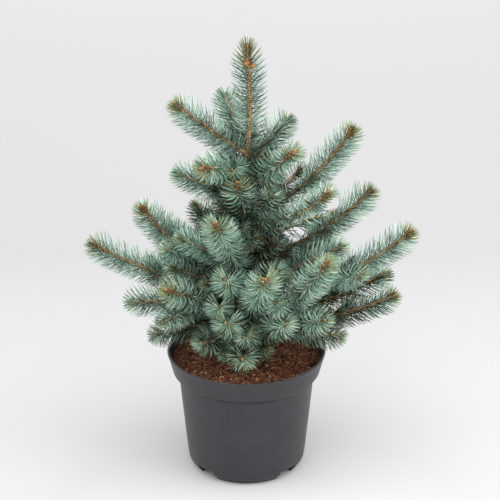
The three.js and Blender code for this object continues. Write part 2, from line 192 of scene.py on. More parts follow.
@dataclass(frozen=True)
class Limb:
    """One limb of the crown: its compass turn, where it leaves the trunk, and where its tip is.

    A showy limb ends in a cluster of plump buds; the others end in small green ones.
    """

    name: str
    turn: float
    start: float
    reach: float
    top: float
    bare: float = 0.0
    twigs: int = 0
    side: int = 1
    showy: bool = True


LIMBS = (
    Limb("top_left", -170, 398, 85, 466),
    Limb("top_back_left", 120, 402, 54, 461, showy=False),
    Limb("top_back_right", 37, 391, 66, 431, showy=False),
    Limb("top_front_right", -47, 360, 83, 425),
    Limb("top_front_left", -135, 383, 76, 400, twigs=1),
    Limb("upper_front", -103, 312, 48, 384),
    Limb("upper_left", 177, 342, 86, 376, twigs=1, side=-1, showy=False),
    Limb("upper_front_right", -52, 318, 52, 368, showy=False),
    Limb("upper_back", 75, 338, 80, 385, twigs=1, showy=False),
    Limb("upper_back_left", 130, 328, 72, 372, twigs=1, side=-1, showy=False),
    Limb("upper_back_right", 36, 318, 86, 366, twigs=1, showy=False),
    Limb("shoulder_right", 4, 318, 125, 430, bare=0.4),
    Limb("shoulder_front_right", -36, 308, 118, 381, bare=0.35, twigs=1),
    Limb("shoulder_back_right", 25, 290, 104, 306, twigs=2, showy=False),
    Limb("shoulder_front_left", -110, 242, 104, 354, twigs=1, side=-1),
    Limb("shoulder_back", 72, 272, 120, 345, bare=0.35, twigs=2, side=-1),
    Limb("shoulder_back_left", 135, 270, 90, 313, twigs=2),
    Limb("middle_right", 1, 262, 148, 357, bare=0.45, twigs=1),
    Limb("middle_left", -175, 234, 124, 342, bare=0.35, twigs=2, side=-1),
    Limb("inner_front_left", -106, 226, 90, 280, twigs=1, side=-1, showy=False),
    Limb("middle_front_right", -49, 190, 139, 312, bare=0.4, twigs=2, side=-1),
    Limb("long_right", -4, 205, 195, 311, bare=0.45, twigs=1, side=-1),
    Limb("long_left", 180, 222, 186, 290, bare=0.4, twigs=1, side=-1),
    Limb("middle_front_left", -143, 200, 119, 261, twigs=2),
    Limb("middle_front", -79, 186, 118, 294),
    Limb("middle_back_right", 42, 222, 150, 290, bare=0.4, twigs=2),
    Limb("middle_back", 95, 214, 165, 292, bare=0.4, twigs=2, side=-1),
    Limb("middle_back_left", 138, 218, 150, 282, bare=0.4, twigs=2),
    Limb("inner_front_right", -64, 219, 84, 287, twigs=1, showy=False),
    Limb("inner_right", -16, 228, 120, 301, twigs=1, showy=False),
    Limb("inner_left", -164, 226, 96, 270, showy=False),
    Limb("inner_front", -104, 182, 102, 231, twigs=1, showy=False),
    Limb("low_right", 0, 170, 181, 223, bare=0.45, twigs=1),
    Limb("low_side_left", -166, 212, 147, 228, twigs=1, showy=False),
    Limb("low_side_right", -24, 187, 127, 189, twigs=1, showy=False),
    Limb("low_front_right", -45, 176, 132, 232, twigs=2, showy=False),
    Limb("low_front", -64, 170, 110, 231, twigs=1, side=-1, showy=False),
    Limb("low_front_left", -128, 172, 92, 191, twigs=1, showy=False),
    Limb("low_left", -177, 194, 118, 168, twigs=1, side=-1, showy=False),
    Limb("low_back_right", 26, 176, 198, 213, bare=0.4, twigs=2, side=-1),
    Limb("low_back", 110, 168, 150, 208, bare=0.4, twigs=2),
    Limb("lowest_front", -93, 156, 88, 178, twigs=2, showy=False),
)


@dataclass(frozen=True)
class TrunkPlan:
    """The trunk's sizes and its slightly bent centre line."""

    ground: float = 141.3
    depth: float = 6
    foot_radius: float = 9.5
    neck_radius: float = 6.8
    neck_height: float = 24
    whorl_height: float = 397
    whorl_radius: float = 3.4
    tip_height: float = 525
    tip_radius: float = 2.0

    @property
    def bottom(self) -> float:
        """The height where the centre line starts, under the soil."""
        return self.ground - self.depth

    def centre_line(self) -> Path:
        """The trunk's line, from just under the soil to the leader's tip.

        Returns:
            The centre line.
        """
        low = self.ground
        return Path.through([
            (0, 0, self.bottom),
            (-2.5, 1.5, low + 70),
            (2, -1.5, low + 165),
            (1.5, 0, self.whorl_height),
            (4, 0, self.whorl_height + 55),
            (1.5, 0, self.tip_height),
        ])

    def radius(self, height: Array) -> Array:
        """The trunk's radius at a height: root flare, long taper, thin leader.

        Args:
            height: Heights over the floor, in millimetres.

        Returns:
            The radii there.
        """
        above = np.asarray(height, float) - self.ground
        extra = self.foot_radius - self.neck_radius
        flare = np.minimum(extra, extra * np.exp(-3 * above / self.neck_height))
        knots = [self.bottom, self.ground, self.whorl_height, self.tip_height]
        radii = [self.neck_radius, self.neck_radius, self.whorl_radius, self.tip_radius]
        return np.interp(height, knots, radii) + flare


@dataclass(frozen=True)
class TwigPlan:
    """How side twigs leave a main shoot, as in the solids."""

    first_at: float = 0.06
    spacing: float = 0.12
    angle: float = 42
    angle_spread: float = 14
    lift: float = -4
    lift_spread: float = 16
    share: float = 0.42
    share_spread: float = 0.2
    closing: float = 0.3
    clothed_start: float = 0.3
    trace_step: float = 4
    clearance: float = 9
    least_height: float = 159


class Age(Enum):
    """How old a shoot is, which sets how closely its needles stand and their colours."""

    LEADER = "leader"
    NEW = "new"
    TWIG = "twig"
    OLD = "old"
    INNER = "inner"


@dataclass
class Shoot:
    """One stem with what it carries."""

    line: Path
    age: Age
    radii: tuple[float, float]
    bloom: float
    clothed: tuple[float, float] = (0.0, 1.0)
    owner: str = "wood"
    showy: bool = False


@dataclass(frozen=True)
class Opening:
    """A place where the crown stays open, so that light from behind shows through to the front.

    The front view looks down by a slope, so a place's height there is its own height and a part of
    its depth.
    """

    across: float
    height: float
    half_width: float
    half_height: float
    slope: float = 0.43

    def holds(self, places: Array) -> Array:
        """Whether each place lies in the opening, looking from the front."""
        off = (places[..., 0] - self.across) / self.half_width
        rise = (places[..., 2] + self.slope * places[..., 1] - self.height) / self.half_height
        return off**2 + rise**2 < 1


# The places right of the trunk and low on the right where the crown is open.
OPENINGS = (
    Opening(64, 321, 19, 9),
    Opening(95, 331, 12, 10),
    Opening(57, 297, 17, 8),
    Opening(53, 369, 10, 15),
    Opening(104, 208, 9, 10),
    Opening(141, 227, 14, 10),
)


def open_places(places: Array) -> Array:
    """Whether each place lies in one of the crown's openings."""
    return np.logical_or.reduce([opening.holds(places) for opening in OPENINGS])


@dataclass
class Crown:
    """Grows every stem of the crown from the limbs' plan."""

    trunk: TrunkPlan = field(default_factory=TrunkPlan)
    twig: TwigPlan = field(default_factory=TwigPlan)
    sag: float = 0.3
    young_sag: float = 0.56
    middle_out: float = 0.62
    bud_room: float = 6
    twig_room: float = 11
    shaded_foot: float = 0.12
    bare_foot: float = 0.15
    bloom: float = 0.69
    bloom_spread: float = 0.3
    twig_loss: float = 0.05
    finer_at: float = 0.05
    finer_shift: float = 0.05
    finer_size: float = 0.55
    finer_bloom: float = 0.42
    leader_foot: float = 6
    leader_bloom: float = 0.46
    inner_bloom: float = 0.4
    inner_count: int = 66
    inner_heights: tuple[float, float] = (168, 392)
    inner_lengths: tuple[float, float] = (58, 34)
    inner_turn: float = 0.4
    inner_sizes: tuple[float, float] = (0.75, 1.25)
    inner_bend: float = 0.12
    inner_rise: tuple[float, float] = (0.3, 0.6)
    shoots: list[Shoot] = field(default_factory=list)
    boughs: list[Shoot] = field(default_factory=list)

    BOUGH_RADII = (3.2, 2.2)
    SHOOT_RADII = {True: (2.9, 2.3), False: (2.5, 1.9)}
    TWIG_RADII = (1.7, 1.2)
    FINER_RADII = (1.5, 1.1)
    LEADER_RADII = (3.0, 2.0)
    INNER_RADII = (1.4, 1.0)
    # The shares of a small shoot's length that stay out of the openings.
    WATCHED = np.array([0.4, 0.7, 1.0])

    def stem_at(self, height: float) -> Array:
        """The place on the trunk's centre line at a height."""
        bottom = self.trunk.bottom
        return self.stem.at((height - bottom) / (self.trunk.tip_height - bottom))

    def limb_line(self, limb: Limb) -> Path:
        """A limb's centre line: out low from the trunk, then bending up to its tip.

        Args:
            limb: The limb's plan.

        Returns:
            Its centre line.
        """
        outward = compass(math.radians(limb.turn))
        rise = self.sag if limb.bare else self.young_sag
        middle = outward * limb.reach * self.middle_out + UP * between(limb.start, limb.top, rise)
        tip = outward * limb.reach + UP * limb.top
        return Path.bent(self.stem_at(limb.start), middle, tip)

    def twig_line(self, main: Path, at: float, side: int, random: Seeded, size: float) -> Path:
        """A side twig's line, leaving one side of a main shoot and closing in on its direction.

        Args:
            main: The stem that it leaves.
            at: The share of the main stem's length where it leaves.
            side: 1 for the left side, -1 for the right.
            random: The seeded numbers that bend it.
            size: How long it is beside the rule's own length.

        Returns:
            The twig's centre line.
        """
        plan = self.twig
        root, along = main.at(at), main.along(at)
        across = unit(np.cross(UP, along))
        angle = math.radians(plan.angle + plan.angle_spread * random())
        lift = math.radians(plan.lift + plan.lift_spread * random())
        length = size * main.length * (plan.share + plan.share_spread * random())
        heading = along * math.cos(angle) + across * side * math.sin(angle)
        heading = unit(heading + UP * math.sin(lift))
        middle = root + heading * length * 0.5
        tip = middle + unit(heading + plan.closing * along) * length * 0.5
        return Path.bent(root, middle, tip)

    def trace(self, line: Path) -> Array:
        """Places every few millimetres along a line."""
        steps = max(2, round(line.length / self.twig.trace_step))
        return line.at(np.linspace(0, 1, steps + 1))

    def note(self, line: Path, owner: str) -> None:
        """Notes where a stem runs, so that others keep clear of it."""
        self.places.append(self.trace(line))
        self.owners += [owner] * len(self.places[-1])

    def has_room(self, line: Path, owner: str) -> bool:
        """Whether a side twig keeps clear of the container and of all other stems.

        Args:
            line: The twig's centre line.
            owner: The limb that bears it.

        Returns:
            True where the twig fits.
        """
        trace = self.trace(line)[2:]
        mask = np.array([name != owner for name in self.owners])
        others = np.vstack(self.places)[mask]
        gaps = np.linalg.norm(trace[:, None, :] - others[None, :, :], axis=2)
        plan = self.twig
        return bool(trace[:, 2].min() > plan.least_height and gaps.min() > plan.clearance)

    def grow(self) -> None:
        """Fills the lists of boughs and shoots."""
        self.stem = self.trunk.centre_line()
        self.places, self.owners = [], []
        self.note(self.stem, "wood")
        for index, (limb, main) in enumerate(self.main_lines()):
            self.grow_twigs(limb, main, index)
        self.grow_leader()
        self.grow_inner()
        self.shoots = [shoot for shoot in self.shoots if not self.in_the_way(shoot)]

    def in_the_way(self, shoot: Shoot) -> bool:
        """Whether a small shoot would fill one of the crown's openings."""
        small = shoot.age in (Age.TWIG, Age.INNER)
        return small and bool(open_places(shoot.line.at(self.WATCHED)).any())

    def main_lines(self) -> list[tuple[Limb, Path]]:
        """Adds each limb's bough and main shoot.

        Returns:
            Each limb with the line that its side twigs leave.
        """
        mains = []
        for index, limb in enumerate(LIMBS):
            whole = self.limb_line(limb)
            bloom = self.bloom + self.bloom_spread * (Seeded(300 + 17 * index)() - 0.5)
            end = 1 - self.bud_room / whole.length
            if limb.bare:
                wood = whole.stretch(0, limb.bare)
                self.note(wood, "wood")
                clothed = (self.bare_foot, 1.0)
                self.boughs.append(
                    Shoot(wood, Age.OLD, self.BOUGH_RADII, bloom, clothed, limb.name))
            clothed = (0.0 if limb.bare else self.shaded_foot, 1.0)
            leafy, radii = whole.stretch(limb.bare, end), self.SHOOT_RADII[limb.showy]
            self.shoots.append(Shoot(leafy, Age.NEW, radii, bloom, clothed, limb.name, limb.showy))
            main = whole.stretch(limb.bare, 1 - self.twig_room / whole.length)
            self.note(main, limb.name)
            mains.append((limb, main))
        return mains

    @staticmethod
    def in_order(shoots: list[Shoot]) -> list[Shoot]:
        """Shoots by their owners, from the top of the crown downwards."""
        names = ["leader", *(limb.name for limb in LIMBS), "inner"]
        return sorted(shoots, key=lambda shoot: names.index(shoot.owner))

    def grow_twigs(self, limb: Limb, main: Path, index: int) -> None:
        """Adds a limb's side twigs by the rule, then the finer twigs that they carry.

        Args:
            limb: The limb that bears them.
            main: The line that they leave.
            index: The limb's place in the plan, which seeds them.
        """
        plan, owner = self.twig, limb.name
        random = Seeded(1000 + 37 * (index + 1))
        bloom = self.shoots[index].bloom - self.twig_loss
        for i in range(limb.twigs):
            at = plan.first_at + plan.spacing * i + (0 if limb.bare else plan.clothed_start)
            line = self.twig_line(main, at, -limb.side if i % 2 else limb.side, random, 1.0)
            if self.has_room(line, owner):
                self.note(line, owner)
                self.shoots.append(Shoot(line, Age.TWIG, self.TWIG_RADII, bloom, owner=owner))
        finer = Seeded(8000 + 53 * index)
        for i in range(1 + limb.twigs):
            at = self.finer_at + plan.spacing * i + self.finer_shift * finer()
            side = limb.side if i % 2 else -limb.side
            line = self.twig_line(main, at, side, finer, self.finer_size)
            if line.at(1.0)[2] > plan.least_height:
                self.shoots.append(
                    Shoot(line, Age.INNER, self.FINER_RADII, self.finer_bloom, owner=owner))

    def grow_leader(self) -> None:
        """Adds the leader's needles round the top of the trunk."""
        plan = self.trunk
        length = plan.tip_height - plan.whorl_height - self.leader_foot
        line = self.stem.stretch(1 - length / self.stem.length, 1)
        clothed = (0.0, 1.0)
        self.shoots.append(Shoot(
            line, Age.LEADER, self.LEADER_RADII, self.leader_bloom, clothed, "leader", True))

    def grow_inner(self) -> None:
        """Adds the short shaded shoots that stand on the trunk between the whorls."""
        random = Seeded(77)
        clothed = (self.shaded_foot, 1.0)
        for i in range(self.inner_count):
            share = (i + 0.5) / self.inner_count
            outward = compass(i * GOLDEN_TURN + self.inner_turn * random())
            size = between(*self.inner_sizes, random())
            length = between(*self.inner_lengths, share) * size
            root = self.stem_at(between(*self.inner_heights, share))
            middle = root + outward * length * 0.5 + UP * length * self.inner_bend
            rise = between(*self.inner_rise, random())
            tip = root + outward * length + UP * length * rise
            line = Path.bent(root, middle, tip)
            self.shoots.append(
                Shoot(line, Age.INNER, self.INNER_RADII, self.inner_bloom, clothed, "inner"))


# ---- Modelling and joining ----


class Bench:
    """The modelling steps that every piece shares."""

    SAME_PLACE = 1e-6
    SAME_HEIGHT = 1e-4

    @staticmethod
    def clear() -> None:
        """Leaves nothing selected."""
        for piece in list(bpy.context.selected_objects):
            piece.select_set(False)

    @classmethod
    def take(cls, *pieces: Piece) -> None:
        """Selects these pieces alone, with the first as the active one."""
        cls.clear()
        for piece in pieces:
            piece.select_set(True)
        bpy.context.view_layer.objects.active = pieces[0]

    @staticmethod
    def named(name: str) -> Piece:
        """Gives the active piece its name."""
        piece = bpy.context.object
        piece.name = piece.data.name = name
        return piece

    @classmethod
    def start(cls, name: str, primitive: Callable[..., object], **settings: object) -> Piece:
        """Adds a primitive with nothing else selected.

        Args:
            name: The piece's name.
            primitive: The operator that adds it.
            settings: The operator's own settings.

        Returns:
            The new piece.
        """
        cls.clear()
        primitive(**settings)
        return cls.named(name)

    @classmethod
    def finish(cls, piece: Piece, kind: str, **settings: object) -> None:
        """Adds a modifier and applies it.

        Args:
            piece: The piece to change.
            kind: The modifier's type.
            settings: The modifier's own settings.
        """
        cls.take(piece)
        modifier = piece.modifiers.new(kind.title(), kind)
        for name, value in settings.items():
            setattr(modifier, name, value)
        bpy.ops.object.modifier_apply(modifier=modifier.name)

    @classmethod
    def raise_noise(
        cls, piece: Piece, name: str, kind: str, size: float, **settings: object
    ) -> None:
        """Moves a piece's surface in and out by a noise in its own place.

        Args:
            piece: The piece to change.
            name: The noise's name.
            kind: The noise's type.
            size: How wide its patches are, in metres.
            settings: How strongly and where it moves the surface.
        """
        texture = bpy.data.textures.get(name) or bpy.data.textures.new(name, kind)
        texture.noise_scale = size
        cls.finish(
            piece, "DISPLACE", texture=texture, texture_coords="LOCAL", mid_level=0.5, **settings)

    @classmethod
    def settle(cls, piece: Piece) -> None:
        """Moves the piece's place, turn and scale into its mesh."""
        cls.take(piece)
        bpy.ops.object.transform_apply(location=True, rotation=True, scale=True)

    @classmethod
    def edit(cls, piece: Piece, mode: str = "FACE", action: str = "SELECT") -> None:
        """Opens a piece for editing with all or nothing selected in it.

        Args:
            piece: The piece.
            mode: What is selected: points, edges or faces.
            action: Whether all or nothing is selected.
        """
        cls.take(piece)
        bpy.ops.object.mode_set(mode="EDIT")
        bpy.ops.mesh.select_mode(type=mode)
        bpy.ops.mesh.select_all(action=action)

    @classmethod
    def pick(cls, piece: Piece, points: Sequence[int]) -> None:
        """Opens a piece for editing with only these points selected.

        Args:
            piece: The piece.
            points: The points' numbers.
        """
        cls.edit(piece, "VERT", "DESELECT")
        cls.close()
        for point in points:
            piece.data.vertices[point].select = True
        bpy.ops.object.mode_set(mode="EDIT")

    @staticmethod
    def close() -> None:
        """Ends the editing."""
        bpy.ops.object.mode_set(mode="OBJECT")

    @classmethod
    def mend(cls) -> None:
        """Merges doubled points, turns the faces outwards and ends the editing."""
        bpy.ops.mesh.select_all(action="SELECT")
        bpy.ops.mesh.remove_doubles(threshold=cls.SAME_PLACE)
        bpy.ops.mesh.normals_make_consistent(inside=False)
        cls.close()

    @staticmethod
    def dress(piece: Piece, material: bpy.types.Material) -> None:
        """Gives a piece its one material."""
        piece.data.materials.clear()
        piece.data.materials.append(material)

    @classmethod
    def smooth(cls, piece: Piece, degrees: float) -> None:
        """Shades a piece smooth, apart from edges sharper than an angle."""
        cls.take(piece)
        bpy.ops.object.shade_smooth_by_angle(angle=math.radians(degrees))

    @classmethod
    def turned(cls, name: str, profile: Rings, sides: int) -> Piece:
        """A closed shell turned round the upright axis.

        A ring is added at the profile's first place, and then extruded and resized from one place
        to the next. Both ends close on the axis.

        Args:
            name: The piece's name.
            profile: Radii and heights in millimetres; the first and last are on the axis.
            sides: How many sides the ring has.

        Returns:
            The closed piece.
        """
        (low, end), rings = (profile[0][1], profile[-1][1]), profile[1:-1]
        radius, height = rings[0]
        piece = cls.start(
            name, bpy.ops.mesh.primitive_circle_add,
            vertices=sides, radius=radius * MM, location=(0, 0, height * MM))
        cls.settle(piece)
        cls.edit(piece, "VERT")
        cls.cap(height, low)
        cls.close()
        cls.pick(piece, range(sides))
        for (r0, z0), (r1, z1) in zip(rings, rings[1:]):
            cls.carry(z1 - z0, r1 / r0, z1)
        cls.cap(rings[-1][1], end)
        cls.mend()
        return piece

    @staticmethod
    def carry(rise: float, share: float, height: float) -> None:
        """Extrudes the selected ring upwards and resizes it at its new height.

        Args:
            rise: How far it goes up, in millimetres.
            share: Its new width beside the old one.
            height: Its new height, in millimetres.
        """
        bpy.ops.mesh.extrude_region_move(TRANSFORM_OT_translate={"value": (0, 0, rise * MM)})
        centre = (0, 0, height * MM)
        bpy.ops.transform.resize(value=(share, share, 1), center_override=centre)

    @classmethod
    def cap(cls, height: float, end: float) -> None:
        """Closes the selected ring on the axis, through one ring of half its width.

        Args:
            height: The ring's height, in millimetres.
            end: The height where the shell closes.
        """
        rise = (end - height) * 0.5
        cls.carry(rise, 0.5, height + rise)
        bpy.ops.mesh.extrude_region_move(TRANSFORM_OT_translate={"value": (0, 0, rise * MM)})
        bpy.ops.mesh.merge(type="CENTER")

    @classmethod
    def resize_ring(cls, piece: Piece, height: float, width: float) -> None:
        """Gives the ring of points at one height its half width.

        Args:
            piece: The piece.
            height: The ring's height.
            width: Its new half width.
        """
        points = piece.data.vertices
        ring = [v.index for v in points if abs(v.co.z - height) < cls.SAME_HEIGHT]
        share = width / max(math.hypot(*points[k].co[:2]) for k in ring)
        cls.pick(piece, ring)
        bpy.ops.transform.resize(value=(share, share, 1), center_override=(0, 0, height))
        cls.close()


@dataclass(frozen=True)
class Shape:
    """A small closed shape that is copied many times."""

    points: Array
    corners: Array
    sizes: Array
    normals: Array | None = None

    @classmethod
    def lifted(cls, piece: Piece) -> "Shape":
        """Takes the shape from a modelled piece, which then goes.

        Args:
            piece: The modelled piece.

        Returns:
            The shape.
        """
        mesh = piece.data
        points = np.array([vertex.co[:] for vertex in mesh.vertices])
        corners = np.array([corner for face in mesh.polygons for corner in face.vertices])
        sizes = np.array([len(face.vertices) for face in mesh.polygons])
        normals = np.array([face.normal[:] for face in mesh.polygons])
        bpy.data.objects.remove(piece)
        return cls(points, corners, sizes, normals)

    @classmethod
    def pointed(
        cls, name: str, sides: int, radius: float, rings: Rings = ()
    ) -> "Shape":
        """A pointed shape, one unit long, made from a cone.

        Args:
            name: The shape's name.
            sides: How many sides it has.
            radius: The cone's radius at its foot.
            rings: Heights and half widths of the shape's rings, from the foot upwards.

        Returns:
            The shape.
        """
        piece = Bench.start(
            name, bpy.ops.mesh.primitive_cone_add,
            vertices=sides, radius1=radius, radius2=0, depth=1, location=(0, 0, 0.5))
        Bench.settle(piece)
        for height, _ in rings[1:]:
            Bench.edit(piece)
            bpy.ops.mesh.bisect(plane_co=(0, 0, height), plane_no=(0, 0, 1))
            Bench.close()
        for height, width in rings:
            Bench.resize_ring(piece, height, width)
        return cls.lifted(piece)

    @classmethod
    def rough(
        cls, name: str, offset: float, seed: int, primitive: Callable[..., object],
        **settings: object,
    ) -> "Shape":
        """A primitive with its points moved at random.

        Args:
            name: The shape's name.
            offset: How far the points move.
            seed: The seed of their moves.
            primitive: The operator that adds the primitive.
            settings: The operator's own settings.

        Returns:
            The shape.
        """
        piece = Bench.start(name, primitive, **settings)
        Bench.edit(piece)
        bpy.ops.transform.vertex_random(offset=offset, seed=seed)
        Bench.close()
        return cls.lifted(piece)

    @property
    def triangles(self) -> int:
        """How many triangles one copy has."""
        return int((self.sizes - 2).sum())


class Joined:
    """Many small shapes gathered into one mesh, each face with its own finish."""

    def __init__(self, name: str, tones: type[Enum]) -> None:
        """Starts an empty heap.

        Args:
            name: The piece's name.
            tones: The plain finishes that the faces choose from.
        """
        self.name, self.tones = name, tones
        self.points, self.corners, self.sizes, self.tints = [], [], [], []
        self.count = self.triangles = 0

    def add(self, points: Array, shape: Shape, tints: Array) -> None:
        """Adds one or more copies of a shape.

        Args:
            points: The copies' points in millimetres, one copy after another.
            shape: The shape, for the layout of its faces.
            tints: The finish's number for each face of each copy.
        """
        points, each = points.reshape(-1, 3), len(shape.points)
        starts = np.arange(self.count, self.count + len(points), each)
        self.points.append(points)
        self.corners.append((shape.corners + starts[:, None]).ravel())
        self.sizes.append(np.tile(shape.sizes, len(starts)))
        self.tints.append(np.broadcast_to(tints, (len(starts), len(shape.sizes))).ravel())
        self.count += len(points)
        self.triangles += len(starts) * shape.triangles

    def piece(self, slot: str, *nodes: str, smooth: bool = False) -> Piece:
        """Makes the mesh and puts it in its place in the object.

        Args:
            slot: The record's material slot, which is passed on but not used.
            nodes: The solids that the piece stands for.
            smooth: Whether its faces are shaded smooth.

        Returns:
            The finished piece.
        """
        mesh = bpy.data.meshes.new(self.name)
        points, corners = np.vstack(self.points) * MM, np.concatenate(self.corners)
        sizes, tints = np.concatenate(self.sizes), np.concatenate(self.tints)
        starts = np.concatenate([[0], np.cumsum(sizes)[:-1]])
        mesh.vertices.add(len(points))
        mesh.vertices.foreach_set("co", points.astype(np.float32).ravel())
        mesh.loops.add(len(corners))
        mesh.loops.foreach_set("vertex_index", corners.astype(np.int32))
        mesh.polygons.add(len(sizes))
        mesh.polygons.foreach_set("loop_start", starts.astype(np.int32))
        mesh.polygons.foreach_set("material_index", tints.astype(np.int32))
        mesh.polygons.foreach_set("use_smooth", np.full(len(sizes), smooth))
        mesh.update(calc_edges=True)
        for tone in self.tones:
            mesh.materials.append(tone.value.material())
        piece = bpy.data.objects.new(self.name, mesh)
        bpy.context.scene.collection.objects.link(piece)
        return placed(piece, slot, *nodes)


def placed(piece: Piece, slot: str, *nodes: str) -> Piece:
    """Seats a finished piece in the object.

    Args:
        piece: The piece, with its place in its mesh.
        slot: The record's material slot, which is not used.
        nodes: The solids that it stands for.

    Returns:
        The same piece.
    """
    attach(piece, "root")
    if nodes:
        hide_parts(*nodes)
    return piece


# ---- Finishes ----


def linear(code: str) -> tuple[float, float, float, float]:
    """A colour code as the linear colour that a shader takes."""
    channels = [int(code[i : i + 2], 16) / 255 for i in (1, 3, 5)]
    return (*[c / 12.92 if c <= 0.04045 else ((c + 0.055) / 1.055) ** 2.4 for c in channels], 1.0)


class Nodes:
    """Adds and joins the nodes of one shader tree."""

    def __init__(self, tree: bpy.types.NodeTree) -> None:
        """Works on this tree."""
        self.tree = tree

    def fill(self, node: bpy.types.Node, sockets: Sockets) -> bpy.types.Node:
        """Sets a node's inputs.

        Args:
            node: The node.
            sockets: What goes into its inputs: values, or other nodes' outputs.

        Returns:
            The same node.
        """
        for name, value in sockets.items():
            if isinstance(value, Socket):
                self.tree.links.new(value, node.inputs[name])
            else:
                node.inputs[name].default_value = value
        return node

    def add(self, kind: str, sockets: Sockets, **settings: object) -> Socket:
        """Adds a node.

        Args:
            kind: The node's type, without its leading "ShaderNode".
            sockets: What goes into its inputs: values, or other nodes' outputs.
            settings: The node's own settings.

        Returns:
            The node's first output.
        """
        node = self.tree.nodes.new(f"ShaderNode{kind}")
        for name, value in settings.items():
            setattr(node, name, value)
        return self.fill(node, sockets).outputs[0]

    def place(self) -> Socket:
        """Places in the piece's own space."""
        return self.add("TexCoord", {}).node.outputs["Object"]

    def split(self, vector: Socket, axis: str) -> Socket:
        """One part of a vector: X, Y or Z."""
        return self.add("SeparateXYZ", {0: vector}).node.outputs[axis]

    def calculate(self, operation: str, first: object, second: object) -> Socket:
        """The sum, product or the like of two numbers."""
        return self.add("Math", {0: first, 1: second}, operation=operation)

    def spread(
        self, value: Socket, low: object, high: object, start: float = 0.0,
        end: float = 1.0,
    ) -> Socket:
        """A value stretched from one range to another.

        Args:
            value: The value.
            low: Where the first range starts.
            high: Where it ends.
            start: Where the second range starts.
            end: Where it ends.

        Returns:
            The stretched value.
        """
        ranges = {"From Min": low, "From Max": high, "To Min": start, "To Max": end}
        return self.add("MapRange", {"Value": value, **ranges})

    def ramp(self, factor: Socket, stops: Sequence[tuple[float, str]]) -> Socket:
        """Colours by a factor, from stops of place and colour code.

        Args:
            factor: What chooses the colour.
            stops: Places from 0 to 1 and their colour codes.

        Returns:
            The colour.
        """
        colours = self.add("ValToRGB", {"Fac": factor})
        bar = colours.node.color_ramp
        while len(bar.elements) < len(stops):
            bar.elements.new(0.5)
        for element, (place, code) in zip(bar.elements, stops):
            element.position = place
            element.color = linear(code)
        return colours

    def mix(self, factor: object, first: object, second: object) -> Socket:
        """Mixes two colours by a factor."""
        sockets = {0: factor, 6: first, 7: second}
        return self.add("Mix", sockets, data_type="RGBA").node.outputs[2]

    def bump(self, height: Socket, strength: float, distance: float) -> Socket:
        """The normals of a surface raised by a height."""
        return self.add("Bump", {"Height": height, "Strength": strength, "Distance": distance})


def new_material(name: str) -> tuple[bpy.types.Material, Nodes, bpy.types.Node]:
    """A new node material.

    Args:
        name: Its name.

    Returns:
        The material, its node helper and its main shader.
    """
    material = bpy.data.materials.new(name)
    material.use_nodes = True
    shader = next(n for n in material.node_tree.nodes if n.type == "BSDF_PRINCIPLED")
    return material, Nodes(material.node_tree), shader


class Effects:
    """Effects that several finishes share, each a node group made once."""

    @staticmethod
    def group(name: str, inputs: dict[str, float]) -> tuple[Nodes, bpy.types.NodeOutputs]:
        """Starts a group that takes a place and some numbers, and puts out a mask.

        Args:
            name: The group's name.
            inputs: The numbers' names and usual values.

        Returns:
            The group's node helper and what is given to it.
        """
        tree = bpy.data.node_groups.new(name, "ShaderNodeTree")
        sockets = tree.interface
        sockets.new_socket(name="Vector", in_out="INPUT", socket_type="NodeSocketVector")
        for label, value in inputs.items():
            socket = sockets.new_socket(
                name=label, in_out="INPUT", socket_type="NodeSocketFloat")
            socket.default_value = value
        sockets.new_socket(name="Mask", in_out="OUTPUT", socket_type="NodeSocketFloat")
        return Nodes(tree), tree.nodes.new("NodeGroupInput").outputs

    @staticmethod
    def ended(nodes: Nodes, mask: Socket) -> bpy.types.NodeTree:
        """Leads the mask out of its group, which is then ready."""
        nodes.fill(nodes.tree.nodes.new("NodeGroupOutput"), {"Mask": mask})
        return nodes.tree

    @classmethod
    @functools.cache
    def mottle(cls) -> bpy.types.NodeTree:
        """Soft patches: a mask from two sizes of noise.

        Returns:
            The node group.
        """
        nodes, given = cls.group("mottle", {"Scale": 60, "Low": 0.35, "High": 0.65})
        place, scale = given["Vector"], given["Scale"]
        finer = nodes.calculate("MULTIPLY", scale, 4.3)
        wide = nodes.add("TexNoise", {"Vector": place, "Scale": scale, "Detail": 3.0})
        fine = nodes.add("TexNoise", {"Vector": place, "Scale": finer, "Detail": 2.0})
        half = nodes.calculate("MULTIPLY", nodes.calculate("ADD", wide, fine), 0.5)
        return cls.ended(nodes, nodes.spread(half, given["Low"], given["High"]))

    @classmethod
    @functools.cache
    def dust(cls) -> bpy.types.NodeTree:
        """Dust that lies on faces that look up, broken by noise.

        Returns:
            The node group.
        """
        nodes, given = cls.group("dust", {"Amount": 0.4})
        normal = nodes.add("NewGeometry", {}).node.outputs["Normal"]
        upward = nodes.spread(nodes.split(normal, "Z"), 0.1, 0.95)
        sockets = {"Vector": given["Vector"], "Scale": 260.0, "Detail": 4.0}
        broken = nodes.spread(nodes.add("TexNoise", sockets), 0.4, 0.7)
        share = nodes.calculate("MULTIPLY", upward, broken)
        return cls.ended(nodes, nodes.calculate("MULTIPLY", share, given["Amount"]))

    @classmethod
    def patches(cls, nodes: Nodes, place: Socket, scale: float) -> Socket:
        """Soft patches of one size on a material."""
        sockets = {"Vector": place, "Scale": scale}
        return nodes.add("Group", sockets, node_tree=cls.mottle())


@dataclass(frozen=True)
class Plain:
    """A finish of one colour, for shapes a millimetre or two wide."""

    name: str
    colour: str
    roughness: float = 0.5
    shine: float = 0.35

    @functools.cache
    def material(self) -> bpy.types.Material:
        """The finish's material, made once.

        Returns:
            The material.
        """
        material, nodes, shader = new_material(self.name)
        nodes.fill(shader, {
            "Base Color": linear(self.colour),
            "Roughness": self.roughness,
            "Specular IOR Level": self.shine,
        })
        return material


